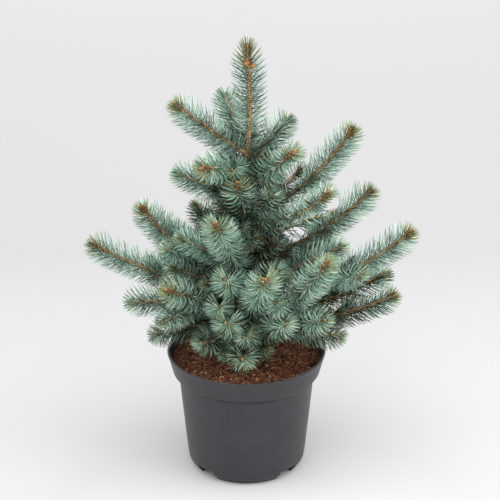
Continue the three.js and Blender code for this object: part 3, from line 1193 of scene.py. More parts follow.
@dataclass(frozen=True)
class PotFinish:
    """Satin moulded plastic, near black, with a fine grain and a little dust."""

    base: str = "#232126"
    worn: str = "#2E2C31"
    dusty: str = "#7A7166"
    dust: float = 0.3
    roughness: tuple[float, float] = (0.37, 0.49)
    worn_scale: float = 24
    grain_scale: float = 420
    grain: float = 0.12
    grain_depth: float = 0.0002

    def material(self) -> bpy.types.Material:
        """The container's material.

        Returns:
            The material.
        """
        material, nodes, shader = new_material("pot_plastic")
        place = nodes.place()
        patches = Effects.patches(nodes, place, self.worn_scale)
        fine = Effects.patches(nodes, place, self.grain_scale)
        sockets = {"Vector": place, "Amount": self.dust}
        dust = nodes.add("Group", sockets, node_tree=Effects.dust())
        body = nodes.mix(patches, linear(self.base), linear(self.worn))
        nodes.fill(shader, {
            "Base Color": nodes.mix(dust, body, linear(self.dusty)),
            "Roughness": nodes.spread(patches, 0.0, 1.0, *self.roughness),
            "Normal": nodes.bump(fine, self.grain, self.grain_depth),
        })
        return material


@dataclass(frozen=True)
class BarkFinish:
    """Scaly bark: grey-brown at the foot, golden tan on the young leader."""

    name: str
    old: str = "#6A533D"
    old_pale: str = "#8E7457"
    crack: str = "#33261D"
    young: str = "#B59A6C"
    young_pale: str = "#CDB587"
    turn_height: float = 0.33
    young_height: float = 0.42
    stretch: float = 0.45
    patch_scale: float = 240
    plate_scale: float = 420
    crack_width: float = 0.12
    relief: float = 0.7
    relief_depth: float = 0.0006

    def material(self) -> bpy.types.Material:
        """The bark's material.

        Returns:
            The material.
        """
        material, nodes, shader = new_material(self.name)
        place = nodes.place()
        age = nodes.spread(nodes.split(place, "Z"), self.turn_height, self.young_height)
        stretched = nodes.add("Mapping", {"Vector": place, "Scale": (1.0, 1.0, self.stretch)})
        patches = Effects.patches(nodes, stretched, self.patch_scale)
        sockets = {"Vector": stretched, "Scale": self.plate_scale}
        plates = nodes.add("TexVoronoi", sockets, feature="DISTANCE_TO_EDGE")
        seam = nodes.spread(plates, 0.0, self.crack_width)
        old = nodes.mix(patches, linear(self.old), linear(self.old_pale))
        young = nodes.mix(patches, linear(self.young), linear(self.young_pale))
        nodes.fill(shader, {
            "Base Color": nodes.mix(seam, linear(self.crack), nodes.mix(age, old, young)),
            "Roughness": 0.8,
            "Specular IOR Level": 0.25,
            "Normal": nodes.bump(seam, self.relief, self.relief_depth),
        })
        return material


@dataclass(frozen=True)
class SoilFinish:
    """Damp peat: dark reddish brown, coarse, with paler fibres in it."""

    stops: tuple[tuple[float, str], ...] = ((0.0, "#2A1810"), (0.55, "#6B3F28"), (1.0, "#8A5A3C"))
    patch_scale: float = 170
    relief: float = 0.8
    relief_depth: float = 0.0012

    def material(self) -> bpy.types.Material:
        """The soil's material.

        Returns:
            The material.
        """
        material, nodes, shader = new_material("peat")
        patches = Effects.patches(nodes, nodes.place(), self.patch_scale)
        nodes.fill(shader, {
            "Base Color": nodes.ramp(patches, self.stops),
            "Roughness": 0.92,
            "Normal": nodes.bump(patches, self.relief, self.relief_depth),
        })
        return material


class NeedleTone(Enum):
    """Needle colours, from shaded green to frosted blue, then the odd ones."""

    SHADE = Plain("needle_shade", "#28331F", 0.6)
    DEEP = Plain("needle_deep", "#486150", 0.55)
    GREEN = Plain("needle_green", "#6C8979", 0.55)
    BLUE = Plain("needle_blue", "#8DAE9D", 0.55)
    PALE = Plain("needle_pale", "#B2D1BD", 0.55)
    FROST = Plain("needle_frost", "#DAEBD9", 0.55)
    OLIVE = Plain("needle_olive", "#5B552E", 0.6)
    STRAW = Plain("needle_straw", "#8A6E42", 0.65)
    FRESH = Plain("needle_fresh", "#959E70", 0.55)


class WoodTone(Enum):
    """Colours of young stems, their pegs and their buds."""

    DARK = Plain("wood_dark", "#5C4630", 0.75)
    BROWN = Plain("wood_brown", "#8A6A45", 0.7)
    TAN = Plain("wood_tan", "#B2936A", 0.65)
    GOLD = Plain("wood_gold", "#C9B083", 0.6)
    BUD = Plain("bud_orange", "#B17B4C", 0.5)
    BUD_PALE = Plain("bud_pale", "#C69D70", 0.5)
    BUD_DARK = Plain("bud_dark", "#865737", 0.55)
    BUD_GREEN = Plain("bud_green", "#9A9468", 0.55)


class SoilTone(Enum):
    """Colours of the crumbs, chips and fibres on the soil."""

    BLACK = Plain("crumb_black", "#2A1911", 0.95)
    DARK = Plain("crumb_dark", "#643A28", 0.95)
    BROWN = Plain("crumb_brown", "#865339", 0.92)
    RED = Plain("crumb_red", "#87543A", 0.9)
    TAN = Plain("chip_tan", "#A37A52", 0.85)
    PALE = Plain("chip_pale", "#C9AD83", 0.85)
    GREY = Plain("chip_grey", "#8E7460", 0.9)


def number(tone: Enum) -> int:
    """A tone's place in its palette."""
    return list(type(tone)).index(tone)


def numbers(*tones: Enum) -> list[int]:
    """The places of some tones in their palette."""
    return [number(tone) for tone in tones]


# ---- The crown's small parts ----


@dataclass(frozen=True)
class Cover:
    """How needles stand on shoots of one age.

    There is a density for each millimetre and a size beside the usual one. Near the tip, in a
    zone of some millimetres, they close in by an angle and lose a share of their length.
    """

    density: float
    size: float = 1.0
    zone: float = 20
    closing: float = 40
    loss: float = 0.6


COVERS = {
    Age.LEADER: Cover(3.0, 0.94, zone=30, closing=60, loss=0.42),
    Age.NEW: Cover(4.3),
    Age.TWIG: Cover(3.7, 0.88),
    Age.OLD: Cover(2.2, 0.72, zone=4, closing=10, loss=0.2),
    Age.INNER: Cover(2.5, 0.78),
}


@dataclass(frozen=True)
class PaintedShade:
    """Where shade is painted into the needles' tones: round the trunk, narrower towards the top,
    and low down.
    """

    radius: float = 75
    top: float = 430
    fall: float = 130
    narrowest: float = 0.3
    end: float = 405
    low_top: float = 245
    low_fall: float = 60
    low_out: float = 1.4
    low_weight: float = 0.9
    deepest: float = 1.25

    def at(self, place: Array, share: Array) -> tuple[Array, Array]:
        """How deep needles stand in the shade.

        Args:
            place: Where each needle stands.
            share: Each needle's share of its shoot's length.

        Returns:
            The whole depth of the shade, and the part of it that comes from standing low.
        """
        out, height = np.hypot(place[:, 0], place[:, 1]), place[:, 2]
        reach = self.radius * np.clip((self.top - height) / self.fall, self.narrowest, 1)
        low = np.clip((self.low_top - height) / self.low_fall, 0, 1)
        low = low * np.clip(self.low_out - share, 0, 1)
        inward = np.clip(1 - out / reach, 0, 1) * (height < self.end)
        return np.clip(inward + self.low_weight * low, 0, self.deepest), low


@dataclass
class Needles:
    """Clothes shoots with needles, in sprays of one colour."""

    length: float = 21.2
    lengths: tuple[float, float] = (0.94, 1.05)
    foot_size: float = 0.72
    foot_zone: float = 14
    half_width: float = 0.7
    thickness: float = 0.8
    root_angle: float = 91
    angle_spread: float = 2.8
    slope: float = 8
    forward: float = 0.38
    lift: float = 0.05
    under_turn: float = 0.16
    under_lift: float = 0.1
    parting: float = 28
    leader_parting: float = 12
    steep: float = 0.9
    fewest: int = 12
    spray: int = 20
    most: int = 190_000
    # In an opening, these shares of the needles are left out, on plain and on showy shoots. Those
    # of showy shoots are cut back as well.
    thinning: tuple[float, float] = (0.82, 0.1)
    cut_back: float = 0.55
    shade: PaintedShade = field(default_factory=PaintedShade)
    spray_spread: float = 0.09
    bloom_spread: float = 0.14
    # How far painted shade lowers a needle's tone.
    shade_loss: float = 0.27
    # The share of dull needles anywhere, in full shade and low down, and the same on old shoots. In
    # shade and low down the dull olive is partly the inner needles' own colour and partly painted
    # shade.
    dull: Triple = (0.04, 0.36, 0.3)
    old_dull: tuple[float, float] = (0.2, 0.45)
    straw: float = 0.05
    # The fresh tips' lengths and largest shares, on plain and on showy shoots.
    fresh_zones: tuple[float, float] = (10, 16)
    fresh_leader: float = 24
    fresh_most: tuple[float, float] = (0.3, 0.7)

    RINGS = ((0.0, 0.55), (0.36, 1.0), (0.8, 0.85))
    # For each tone, the painted shade on a needle: the tone of its upper, lit faces, then the
    # darker tone painted on its foot and its under faces, then the one painted on the foot of its
    # under faces.
    PAINTED_SHADE_STEPS = ((0, 0, 0), (1, 0, 0), (2, 1, 0), (3, 2, 1), (4, 3, 2), (5, 4, 3),
              (6, 0, 0), (7, 6, 0), (8, 6, 6))
    # Painted light: faces whose normals lean this far to the needle's upper side count as lit, and
    # faces below this share of its length count as its shaded foot.
    LIT = 0.05
    PAINTED_SHADED_FOOT = 0.3

    def posed(self, shape: Shape, shoot: Shoot, random: Random) -> tuple[Array, Array]:
        """The needles of one shoot.

        Args:
            shape: One needle's shape.
            shoot: The shoot that carries them.
            random: The seeded source of their small differences.

        Returns:
            All their points, and each needle's share of the shoot's length.
        """
        cover, line, (start, end) = COVERS[shoot.age], shoot.line, shoot.clothed
        count = max(self.fewest, round(cover.density * (line.length * (end - start))))
        order = np.arange(count)
        share = start + (end - start) * (order + 0.5 + 0.35 * random.normal(0, 1, count)) / count
        share = np.clip(share, start, end)
        along, above, left = line.frames(share)
        turn = self.parted(order * GOLDEN_TURN + random.normal(0, 0.05, count), shoot.age)
        outward = around(turn, above, left)
        under = np.where(abs(along[:, 2]) > self.steep, 0, np.clip(-outward[:, 2], 0, 1))
        near = np.clip(1 - (1 - share) * line.length / cover.zone, 0, 1)
        angle = self.root_angle - self.slope * share - cover.closing * near**1.2
        angle = np.radians(angle + random.normal(0, self.angle_spread, count))
        heading = along * np.cos(angle)[:, None] + outward * np.sin(angle)[:, None]
        heading = unit(heading + UP * (self.under_turn * under)[:, None])
        length = self.length * random.uniform(*self.lengths, count) * (1 - cover.loss * near**1.5)
        grown = np.clip(share * line.length / self.foot_zone, 0, 1)
        length *= between(self.foot_size, 1, grown)
        length *= cover.size
        bend = along * (self.forward * (1 - 0.6 * near))[:, None]
        bend = bend + UP * (self.lift + self.under_lift * under)[:, None]
        root = line.at(share) + outward * (0.7 * between(*shoot.radii, share))[:, None]
        tip, mid = (root + heading * (part * length)[:, None] for part in (1.0, 0.6))
        free = open_places(tip) | open_places(mid)
        if shoot.showy:
            length = np.where(free, self.cut_back, 1.0) * length
        kept = ~(free & (random.random(count) < self.thinning[shoot.showy]))
        grown = [values[kept] for values in (root, heading, bend, length, along)]
        return self.bent(shape, *grown), share[kept]

    def parted(self, turn: Array, age: Age) -> Array:
        """Turns round the stem, with the needles of the upper side combed apart."""
        free = math.radians(self.leader_parting if age == Age.LEADER else self.parting)
        turn = (turn + math.pi) % (2 * math.pi) - math.pi
        return np.sign(turn) * (free + (math.pi - free) * abs(turn) / math.pi)

    def bent(
        self, shape: Shape, root: Array, heading: Array, bend: Array,
        length: Array, along: Array,
    ) -> Array:
        """Copies of the needle, each laid along its own curve.

        Args:
            shape: One needle's shape.
            root: Where each starts.
            heading: The direction that it leaves in.
            bend: How far its tip is carried from that direction, for one unit of length.
            length: Each one's length.
            along: The stem's direction, which the needles' flat sides follow.

        Returns:
            The points of all copies.
        """
        side = unit(np.cross(heading, along))
        face = np.cross(side, heading)
        flip = np.where(face[:, 2] < 0, -1.0, 1.0)[:, None]
        side, face = (side * flip)[:, None], (face * flip)[:, None]
        across, deep, high = (shape.points[:, k][None, :, None] for k in range(3))
        reach = high * heading[:, None] + high**2 * bend[:, None]
        wide = across * side + self.thickness * deep * face
        return root[:, None] + length[:, None, None] * reach + self.half_width * wide

    def tones(self, shoot: Shoot, share: Array, random: Random) -> Array:
        """Each needle's tone, dealt out by sprays: dull and with painted shade near the trunk,
        frosted further out.

        Args:
            shoot: The shoot that carries them.
            share: Each needle's share of the shoot's length.
            random: The seeded source of the deal.

        Returns:
            Each needle's number in the palette.
        """
        count, sprays = len(share), len(share) // self.spray + 1
        shaded, low = self.shade.at(shoot.line.at(share), share)
        bloom = np.repeat(random.normal(0, self.spray_spread, sprays), self.spray)[:count]
        bloom = shoot.bloom + bloom + random.normal(0, self.bloom_spread, count)
        frost = number(NeedleTone.FROST)
        # Painted shade: the deeper a needle stands in the crown's shade, the darker its tone.
        steps = np.round((bloom - self.shade_loss * shaded) * frost)
        steps = np.clip(steps, 0, frost).astype(int)
        odd = random.random(count)
        old = shoot.age in (Age.OLD, Age.INNER)
        # Dull olive needles: some anywhere as their own colour, and more in shade and low down,
        # which is partly painted shade.
        least, in_shade, in_low = self.dull
        dull = odd < least + in_shade * shaded + in_low * low
        if old:
            dull = dull | (odd < self.old_dull[0] + self.old_dull[1] * low)
        steps = np.where(dull, number(NeedleTone.OLIVE), steps)
        if old:
            return np.where(odd > 1 - self.straw, number(NeedleTone.STRAW), steps)
        zone = self.fresh_leader if shoot.age == Age.LEADER else self.fresh_zones[shoot.showy]
        room = (1 - share) * shoot.line.length
        fresh = odd < np.clip(1.2 - room / zone, 0, self.fresh_most[shoot.showy])
        return np.where(fresh, number(NeedleTone.FRESH), steps)

    def build(self, shoots: list[Shoot]) -> list[Piece]:
        """Makes the needles of all shoots, joined into a few pieces.

        Args:
            shoots: The crown's shoots, those of each limb together.

        Returns:
            The pieces.
        """
        shape = Shape.pointed("needle_shape", 3, 1, self.RINGS)
        # Painted shade: each face steps down from its needle's tone if it looks down, and again if
        # it is near the foot.
        painted_face_shade = np.where(shape.normals[:, 1] > self.LIT, 0, 1)
        painted_face_shade = painted_face_shade + np.where(self.face_heights(shape) < self.PAINTED_SHADED_FOOT, 1, 0)
        darker = np.array(self.PAINTED_SHADE_STEPS)
        pieces, joined, owners = [], None, []
        random = np.random.default_rng(4711)
        for owner, own in itertools.groupby(shoots, key=lambda shoot: shoot.owner):
            posed = [(shoot, *self.posed(shape, shoot, random)) for shoot in own]
            more = sum(len(points) for _, points, _ in posed) * shape.triangles
            if joined and joined.triangles + more > self.most:
                pieces.append(self.seat(joined, owners))
                joined = None
            if joined is None:
                joined, owners = Joined(f"needles_part_{len(pieces) + 1}", NeedleTone), []
            owners.append(owner)
            for shoot, points, share in posed:
                tints = darker[self.tones(shoot, share, random)][:, painted_face_shade]
                joined.add(points, shape, tints)
        return [*pieces, self.seat(joined, owners)]

    @staticmethod
    def face_heights(shape: Shape) -> Array:
        """How far along the needle the middle of each face is."""
        starts = np.concatenate([[0], np.cumsum(shape.sizes)[:-1]])
        return np.add.reduceat(shape.points[shape.corners, 2], starts) / shape.sizes

    @staticmethod
    def seat(joined: Joined, owners: list[str]) -> Piece:
        """Finishes one piece of needles, which stands for its limbs' solids."""
        solids = [f"needles_{name}" for name in sorted(owners)]
        return joined.piece("needles", *[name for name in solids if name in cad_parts])


Buds = list[tuple[Array, Array, float]]


@dataclass
class Stems:
    """The woody stems of all shoots, their needle pegs and their buds."""

    sides: int = 7
    spacing: float = 6
    warm_slope: float = 1.6
    warm_offset: float = 0.55
    warm_shares: tuple[float, float] = (0.1, 0.75)
    peg_length: float = 1.3
    peg_slim: float = 1.5
    peg_lean: float = 0.7
    peg_sink: float = 0.3
    peg_density: float = 1.6
    peg_leader: float = 2.2
    peg_warm_from: float = 0.55
    peg_warm: float = 0.6
    bud_size: float = 6.3
    small_bud: float = 0.55
    bud_out: float = 1.3
    bud_sizes: tuple[float, float] = (0.6, 0.9)
    bud_back: float = 1.5
    bud_step: float = 0.9
    bud_shift: float = 0.8
    bud_turn: float = 0.25
    bud_rise: float = 0.05
    whorl_back: float = 20
    whorl_size: float = 1.4
    whorl_out: float = 2.0
    whorl_lean: float = 0.6

    BUD_RINGS = ((0.0, 0.2), (0.18, 0.31), (0.42, 0.35), (0.66, 0.28), (0.86, 0.15))
    BUDS_AROUND = {Age.LEADER: (3, 3), Age.NEW: (3, 8), Age.TWIG: (2, 2)}
    WHORL = ((0.35, 0), (1.95, 2.5), (3.4, 1), (5.0, 4))
    ANY_WAY = (0.3, 0.9, 0.2)

    def tube(self, line: Path, radii: tuple[float, float], sides: int) -> Shape:
        """A closed tube along a line.

        Args:
            line: The tube's centre line.
            radii: Its radii at root and tip.
            sides: How many sides it has.

        Returns:
            The tube, with its points in their places.
        """
        count = max(3, round(line.length / self.spacing) + 1)
        share = np.linspace(0, 1, count)
        _, above, left = line.frames(share)
        ring = np.arange(sides)
        outward = around(ring * 2 * math.pi / sides, above[:, None], left[:, None])
        radius = np.interp(share, (0, 1), radii)
        points = (line.at(share)[:, None] + outward * radius[:, None, None]).reshape(-1, 3)
        following = (ring + 1) % sides
        quad = np.stack([ring, sides + ring, sides + following, following], 1)
        quads = [low + quad for low in range(0, sides * (count - 1), sides)]
        ends = [ring, (count - 1) * sides + ring[::-1]]
        corners = np.concatenate([np.concatenate(quads).ravel(), *ends])
        sizes = np.concatenate([np.full(sides * (count - 1), 4), [sides, sides]])
        return Shape(points, corners, sizes)

    def build(self, shoots: list[Shoot]) -> list[Piece]:
        """Makes the stems, the pegs and the buds, each as one piece."""
        return [self.stems(shoots), self.pegs(shoots), self.buds(shoots)]

    def stems(self, shoots: list[Shoot]) -> Piece:
        """Makes the stems of all shoots as one piece.

        Args:
            shoots: The crown's shoots.

        Returns:
            The piece.
        """
        joined = Joined("twigs", WoodTone)
        random = np.random.default_rng(12)
        young = numbers(WoodTone.TAN, WoodTone.GOLD, WoodTone.BROWN)
        old = numbers(WoodTone.BROWN, WoodTone.DARK, WoodTone.BROWN)
        for shoot in (shoot for shoot in shoots if shoot.age != Age.LEADER):
            tube = self.tube(shoot.line, shoot.radii, self.sides)
            faces = len(tube.sizes)
            tints = random.choice(old if shoot.age == Age.INNER else young, faces)
            if shoot.showy:
                warm = self.warm_slope * np.arange(faces) / faces - self.warm_offset
                warm = random.random(faces) < np.clip(warm, *self.warm_shares)
                tints = np.where(warm, number(WoodTone.BUD), tints)
            joined.add(tube.points, tube, tints)
        return joined.piece("bark", smooth=True)

    def pegs(self, shoots: list[Shoot]) -> Piece:
        """Makes the pegs that needles stand on, on the leader and on the main shoots.

        Args:
            shoots: The crown's shoots.

        Returns:
            The piece.
        """
        shape = Shape.pointed("peg_shape", 4, 0.55)
        across, deep, high = (shape.points[:, k][None, :, None] for k in range(3))
        joined = Joined("pegs", WoodTone)
        random = np.random.default_rng(31)
        brown = numbers(WoodTone.BROWN, WoodTone.DARK)
        for shoot in (shoot for shoot in shoots if shoot.age in (Age.LEADER, Age.NEW)):
            dense = self.peg_density * (self.peg_leader if shoot.age == Age.LEADER else 1)
            count = round(shoot.line.length * dense)
            share = (np.arange(count) + 0.5) / count
            along, above, left = shoot.line.frames(share)
            outward = around(np.arange(count) * GOLDEN_TURN, above, left)
            heading = unit(outward + self.peg_lean * along)
            side = unit(np.cross(heading, along))
            face = np.cross(side, heading)
            radius = between(*shoot.radii, share)[:, None]
            root = shoot.line.at(share) + outward * (radius - self.peg_sink)
            local = across * side[:, None] + deep * face[:, None]
            local = local + self.peg_slim * high * heading[:, None]
            tints = random.choice(brown, count, p=[0.6, 0.4])
            warm = (share > self.peg_warm_from) & (random.random(count) < self.peg_warm)
            warm = warm & shoot.showy
            tints = np.where(warm, number(WoodTone.BUD_DARK), tints)[:, None]
            joined.add(root[:, None] + self.peg_length * local, shape, tints)
        return joined.piece("bark")

    def bud_places(self, shoot: Shoot, random: Random) -> Buds:
        """Where a shoot's buds stand.

        Args:
            shoot: The shoot that bears them.
            random: The seeded source of their small differences.

        Returns:
            For each bud its root, its direction and its size beside the usual one.
        """
        tip = shoot.line.at(1.0)
        along, above, left = (row[0] for row in shoot.line.frames(np.array([1.0])))
        buds = [(tip - along * self.bud_back, unit(along + UP * self.bud_rise), 1.0)]
        first = random.random() * 6
        for k in range(self.BUDS_AROUND[shoot.age][shoot.showy]):
            outward = around(first + k * GOLDEN_TURN + random.normal(0, self.bud_turn), above, left)
            shift = random.uniform(-self.bud_shift, self.bud_shift)
            back = self.bud_back + self.bud_step * k + shift
            root = tip - along * back + outward * self.bud_out
            buds.append((root, unit(along + outward), random.uniform(*self.bud_sizes)))
        if shoot.age == Age.LEADER:
            buds += self.whorl(shoot.line)
        return buds

    def whorl(self, line: Path) -> Buds:
        """The ring of larger buds a little below the leader's tip.

        Args:
            line: The leader's line.

        Returns:
            For each bud its root, its direction and its size beside the usual one.
        """
        share = 1 - self.whorl_back / line.length
        place = line.at(share)
        along, above, left = (row[0] for row in line.frames(np.array([share])))
        buds = []
        for turn, back in self.WHORL:
            outward = around(turn, above, left)
            root = place - along * back + outward * self.whorl_out
            heading = unit(along * self.whorl_lean + outward)
            buds.append((root, heading, self.whorl_size))
        return buds

    def buds(self, shoots: list[Shoot]) -> Piece:
        """Makes all the buds as one piece: eggs of eight sides with a blunt point.

        Args:
            shoots: The crown's shoots.

        Returns:
            The piece.
        """
        shape = Shape.pointed("bud_shape", 8, 0.3, self.BUD_RINGS)
        joined = Joined("buds", WoodTone)
        random = np.random.default_rng(77)
        plump = numbers(WoodTone.BUD, WoodTone.BUD_PALE, WoodTone.BUD_DARK)
        small = numbers(WoodTone.BUD_GREEN, WoodTone.BUD_PALE, WoodTone.BROWN)
        for shoot in (shoot for shoot in shoots if shoot.age != Age.INNER):
            colours, share = (plump, 1.0) if shoot.showy else (small, self.small_bud)
            for root, heading, size in self.bud_places(shoot, random):
                side = unit(np.cross(heading, self.ANY_WAY))
                axes = np.stack([side, np.cross(side, heading), heading])
                points = root + self.bud_size * size * share * (shape.points @ axes)
                tints = random.choice(colours, len(shape.sizes), p=[0.4, 0.3, 0.3])
                joined.add(points, shape, tints)
        return joined.piece("bark")


@dataclass
class Bark:
    """The trunk and the bare boughs, with the relief of their bark."""

    sides: int = 28
    spacing: float = 1.8
    trunk_sink: float = 3
    bough_sides: int = 16
    bough_spacing: float = 2.4
    collar: float = 1.6
    collar_at: float = 5
    collar_width: float = 4
    relief: float = 0.9
    bough_relief: float = 0.7
    crease: float = 40

    NOISES = (("plates", "VORONOI", 0.005, 1.0), ("knots", "CLOUDS", 0.012, 1.4))

    def limb(self, name: str, line: Path, radii: Array, sides: int) -> Piece:
        """A round limb swept along its line from a curve with a round section.

        Args:
            name: The piece's name.
            line: Its centre line.
            radii: Its radius at evenly spaced places from root to tip.
            sides: How many sides its section has.

        Returns:
            The limb as a mesh.
        """
        piece = Bench.start(name, bpy.ops.curve.primitive_nurbs_path_add)
        curve = piece.data
        curve.splines.clear()
        spline = curve.splines.new("POLY")
        spline.points.add(len(radii) - 1)
        places = line.at(np.linspace(0, 1, len(radii))) * MM
        for point, place, radius in zip(spline.points, places, radii):
            point.co = (*place, 1)
            point.radius = radius
        curve.dimensions = "3D"
        curve.bevel_depth = MM
        curve.bevel_resolution = sides // 4 - 1
        curve.use_fill_caps = True
        Bench.take(piece)
        bpy.ops.object.convert(target="MESH")
        Bench.edit(piece, "VERT")
        Bench.mend()
        return piece

    def finish(self, piece: Piece, relief: float, finish: BarkFinish) -> None:
        """Raises plates and knots on a limb's surface and dresses it in bark.

        Args:
            piece: The limb.
            relief: The relief's height in millimetres.
            finish: The bark's finish.
        """
        for name, kind, size, share in self.NOISES:
            Bench.raise_noise(piece, name, kind, size, strength=relief * share * MM)
        Bench.smooth(piece, self.crease)
        Bench.dress(piece, finish.material())

    def build(self, crown: Crown) -> list[Piece]:
        """Makes the trunk, and the bare boughs as one piece."""
        return [self.trunk(crown), self.boughs(crown)]

    def trunk(self, crown: Crown) -> Piece:
        """Makes the trunk from the flat cut in the soil to the leader's tip.

        Args:
            crown: The grown crown.

        Returns:
            The piece.
        """
        line = crown.stem.stretch(self.trunk_sink / crown.stem.length, 1)
        count = round(line.length / self.spacing)
        heights = line.at(np.linspace(0, 1, count))[:, 2]
        piece = self.limb("trunk_bark", line, crown.trunk.radius(heights), self.sides)
        self.finish(piece, self.relief, BarkFinish("bark_trunk"))
        return placed(piece, "bark", "trunk")

    def boughs(self, crown: Crown) -> Piece:
        """Makes the bare part of every bough, each with a collar at the trunk, as one piece.

        Args:
            crown: The grown crown.

        Returns:
            The piece.
        """
        pieces = []
        for bough in crown.boughs:
            length = bough.line.length
            share = np.linspace(0, 1, round(length / self.bough_spacing))
            swell = np.exp(-((share * length - self.collar_at) / self.collar_width) ** 2)
            radii = between(*bough.radii, share) + self.collar * swell
            pieces.append(self.limb(f"wood_{bough.owner}", bough.line, radii, self.bough_sides))
        Bench.take(*pieces)
        bpy.ops.object.join()
        joined = Bench.named("bough_bark")
        finish = BarkFinish("bark_boughs", turn_height=0.9, young_height=1.0)
        self.finish(joined, self.relief * self.bough_relief, finish)
        return placed(joined, "bark", *[f"bough_{bough.owner}" for bough in crown.boughs])


# ---- Container and soil ----


@dataclass
class Pot:
    """A round nursery container: tapered wall, deep collar, four feet with open gaps."""

    sides: int = 144
    notch_turn: float = 45.7
    notch_size: Triple = (26, 31, 11.5)
    notch_inner: float = 44
    notches: int = 4
    edge: float = 0.35
    sharp: float = 50
    crease: float = 32

    # The wall's section, up the outside and down the inside.
    PROFILE = (
        (0, 1.2), (40, 1.2), (41.2, 0), (63.4, 0), (64.6, 0.5), (66, 3), (69.9, 7.6),
        (70.7, 9.2), (72, 18), (75.2, 51), (78.4, 85), (81.3, 116.2), (81.4, 117.3),
        (82.0, 117.9), (87.6, 123.2), (88.7, 124.5), (89.1, 126.2), (91.3, 134.6),
        (93.6, 143.3), (94.2, 146.2), (94.9, 147.0), (95.2, 148.3), (94.9, 149.5),
        (94.1, 150), (92.9, 149.8), (92.3, 149.0), (91.9, 146.5), (87.2, 127.4),
        (86.6, 126.2), (79.9, 119.6), (79.4, 118.2), (70.2, 20), (66, 14.2), (64, 13.8),
        (0, 13.8),
    )

    def build(self) -> Piece:
        """Makes the container.

        Returns:
            The piece.
        """
        piece = Bench.turned("pot_shell", self.PROFILE, self.sides)
        for k in range(self.notches):
            self.cut_gap(piece, math.radians(self.notch_turn + 360 / self.notches * k))
        Bench.finish(piece, "BEVEL", width=self.edge * MM, segments=2, limit_method="ANGLE",
                     angle_limit=math.radians(self.sharp))
        Bench.smooth(piece, self.crease)
        Bench.dress(piece, PotFinish().material())
        return placed(piece, "pot", "pot")

    def cut_gap(self, piece: Piece, turn: float) -> None:
        """Cuts one open gap through the foot.

        Args:
            piece: The container.
            turn: The gap's turn round the upright axis, in radians.
        """
        wide, deep, high = self.notch_size
        middle = self.notch_inner + deep / 2
        place = (middle * math.cos(turn) * MM, middle * math.sin(turn) * MM, (high / 2 - 1) * MM)
        tool = Bench.start(
            "gap_tool", bpy.ops.mesh.primitive_cube_add,
            size=1, location=place, rotation=(0, 0, turn))
        tool.scale = (deep * MM, wide * MM, (high + 2) * MM)
        Bench.settle(tool)
        Bench.finish(piece, "BOOLEAN", object=tool, operation="DIFFERENCE", solver="EXACT")
        bpy.data.objects.remove(tool)


@dataclass(frozen=True)
class Litter:
    """How one kind of litter lies on the soil.

    It has a number of bits, their distance from the wall, their lift over the bed and the
    steepest lean in radians, and the shares of its tones.
    """

    count: int
    edge: float
    lift: float
    tilt: float
    tones: tuple[int, ...]
    shares: tuple[float, ...]


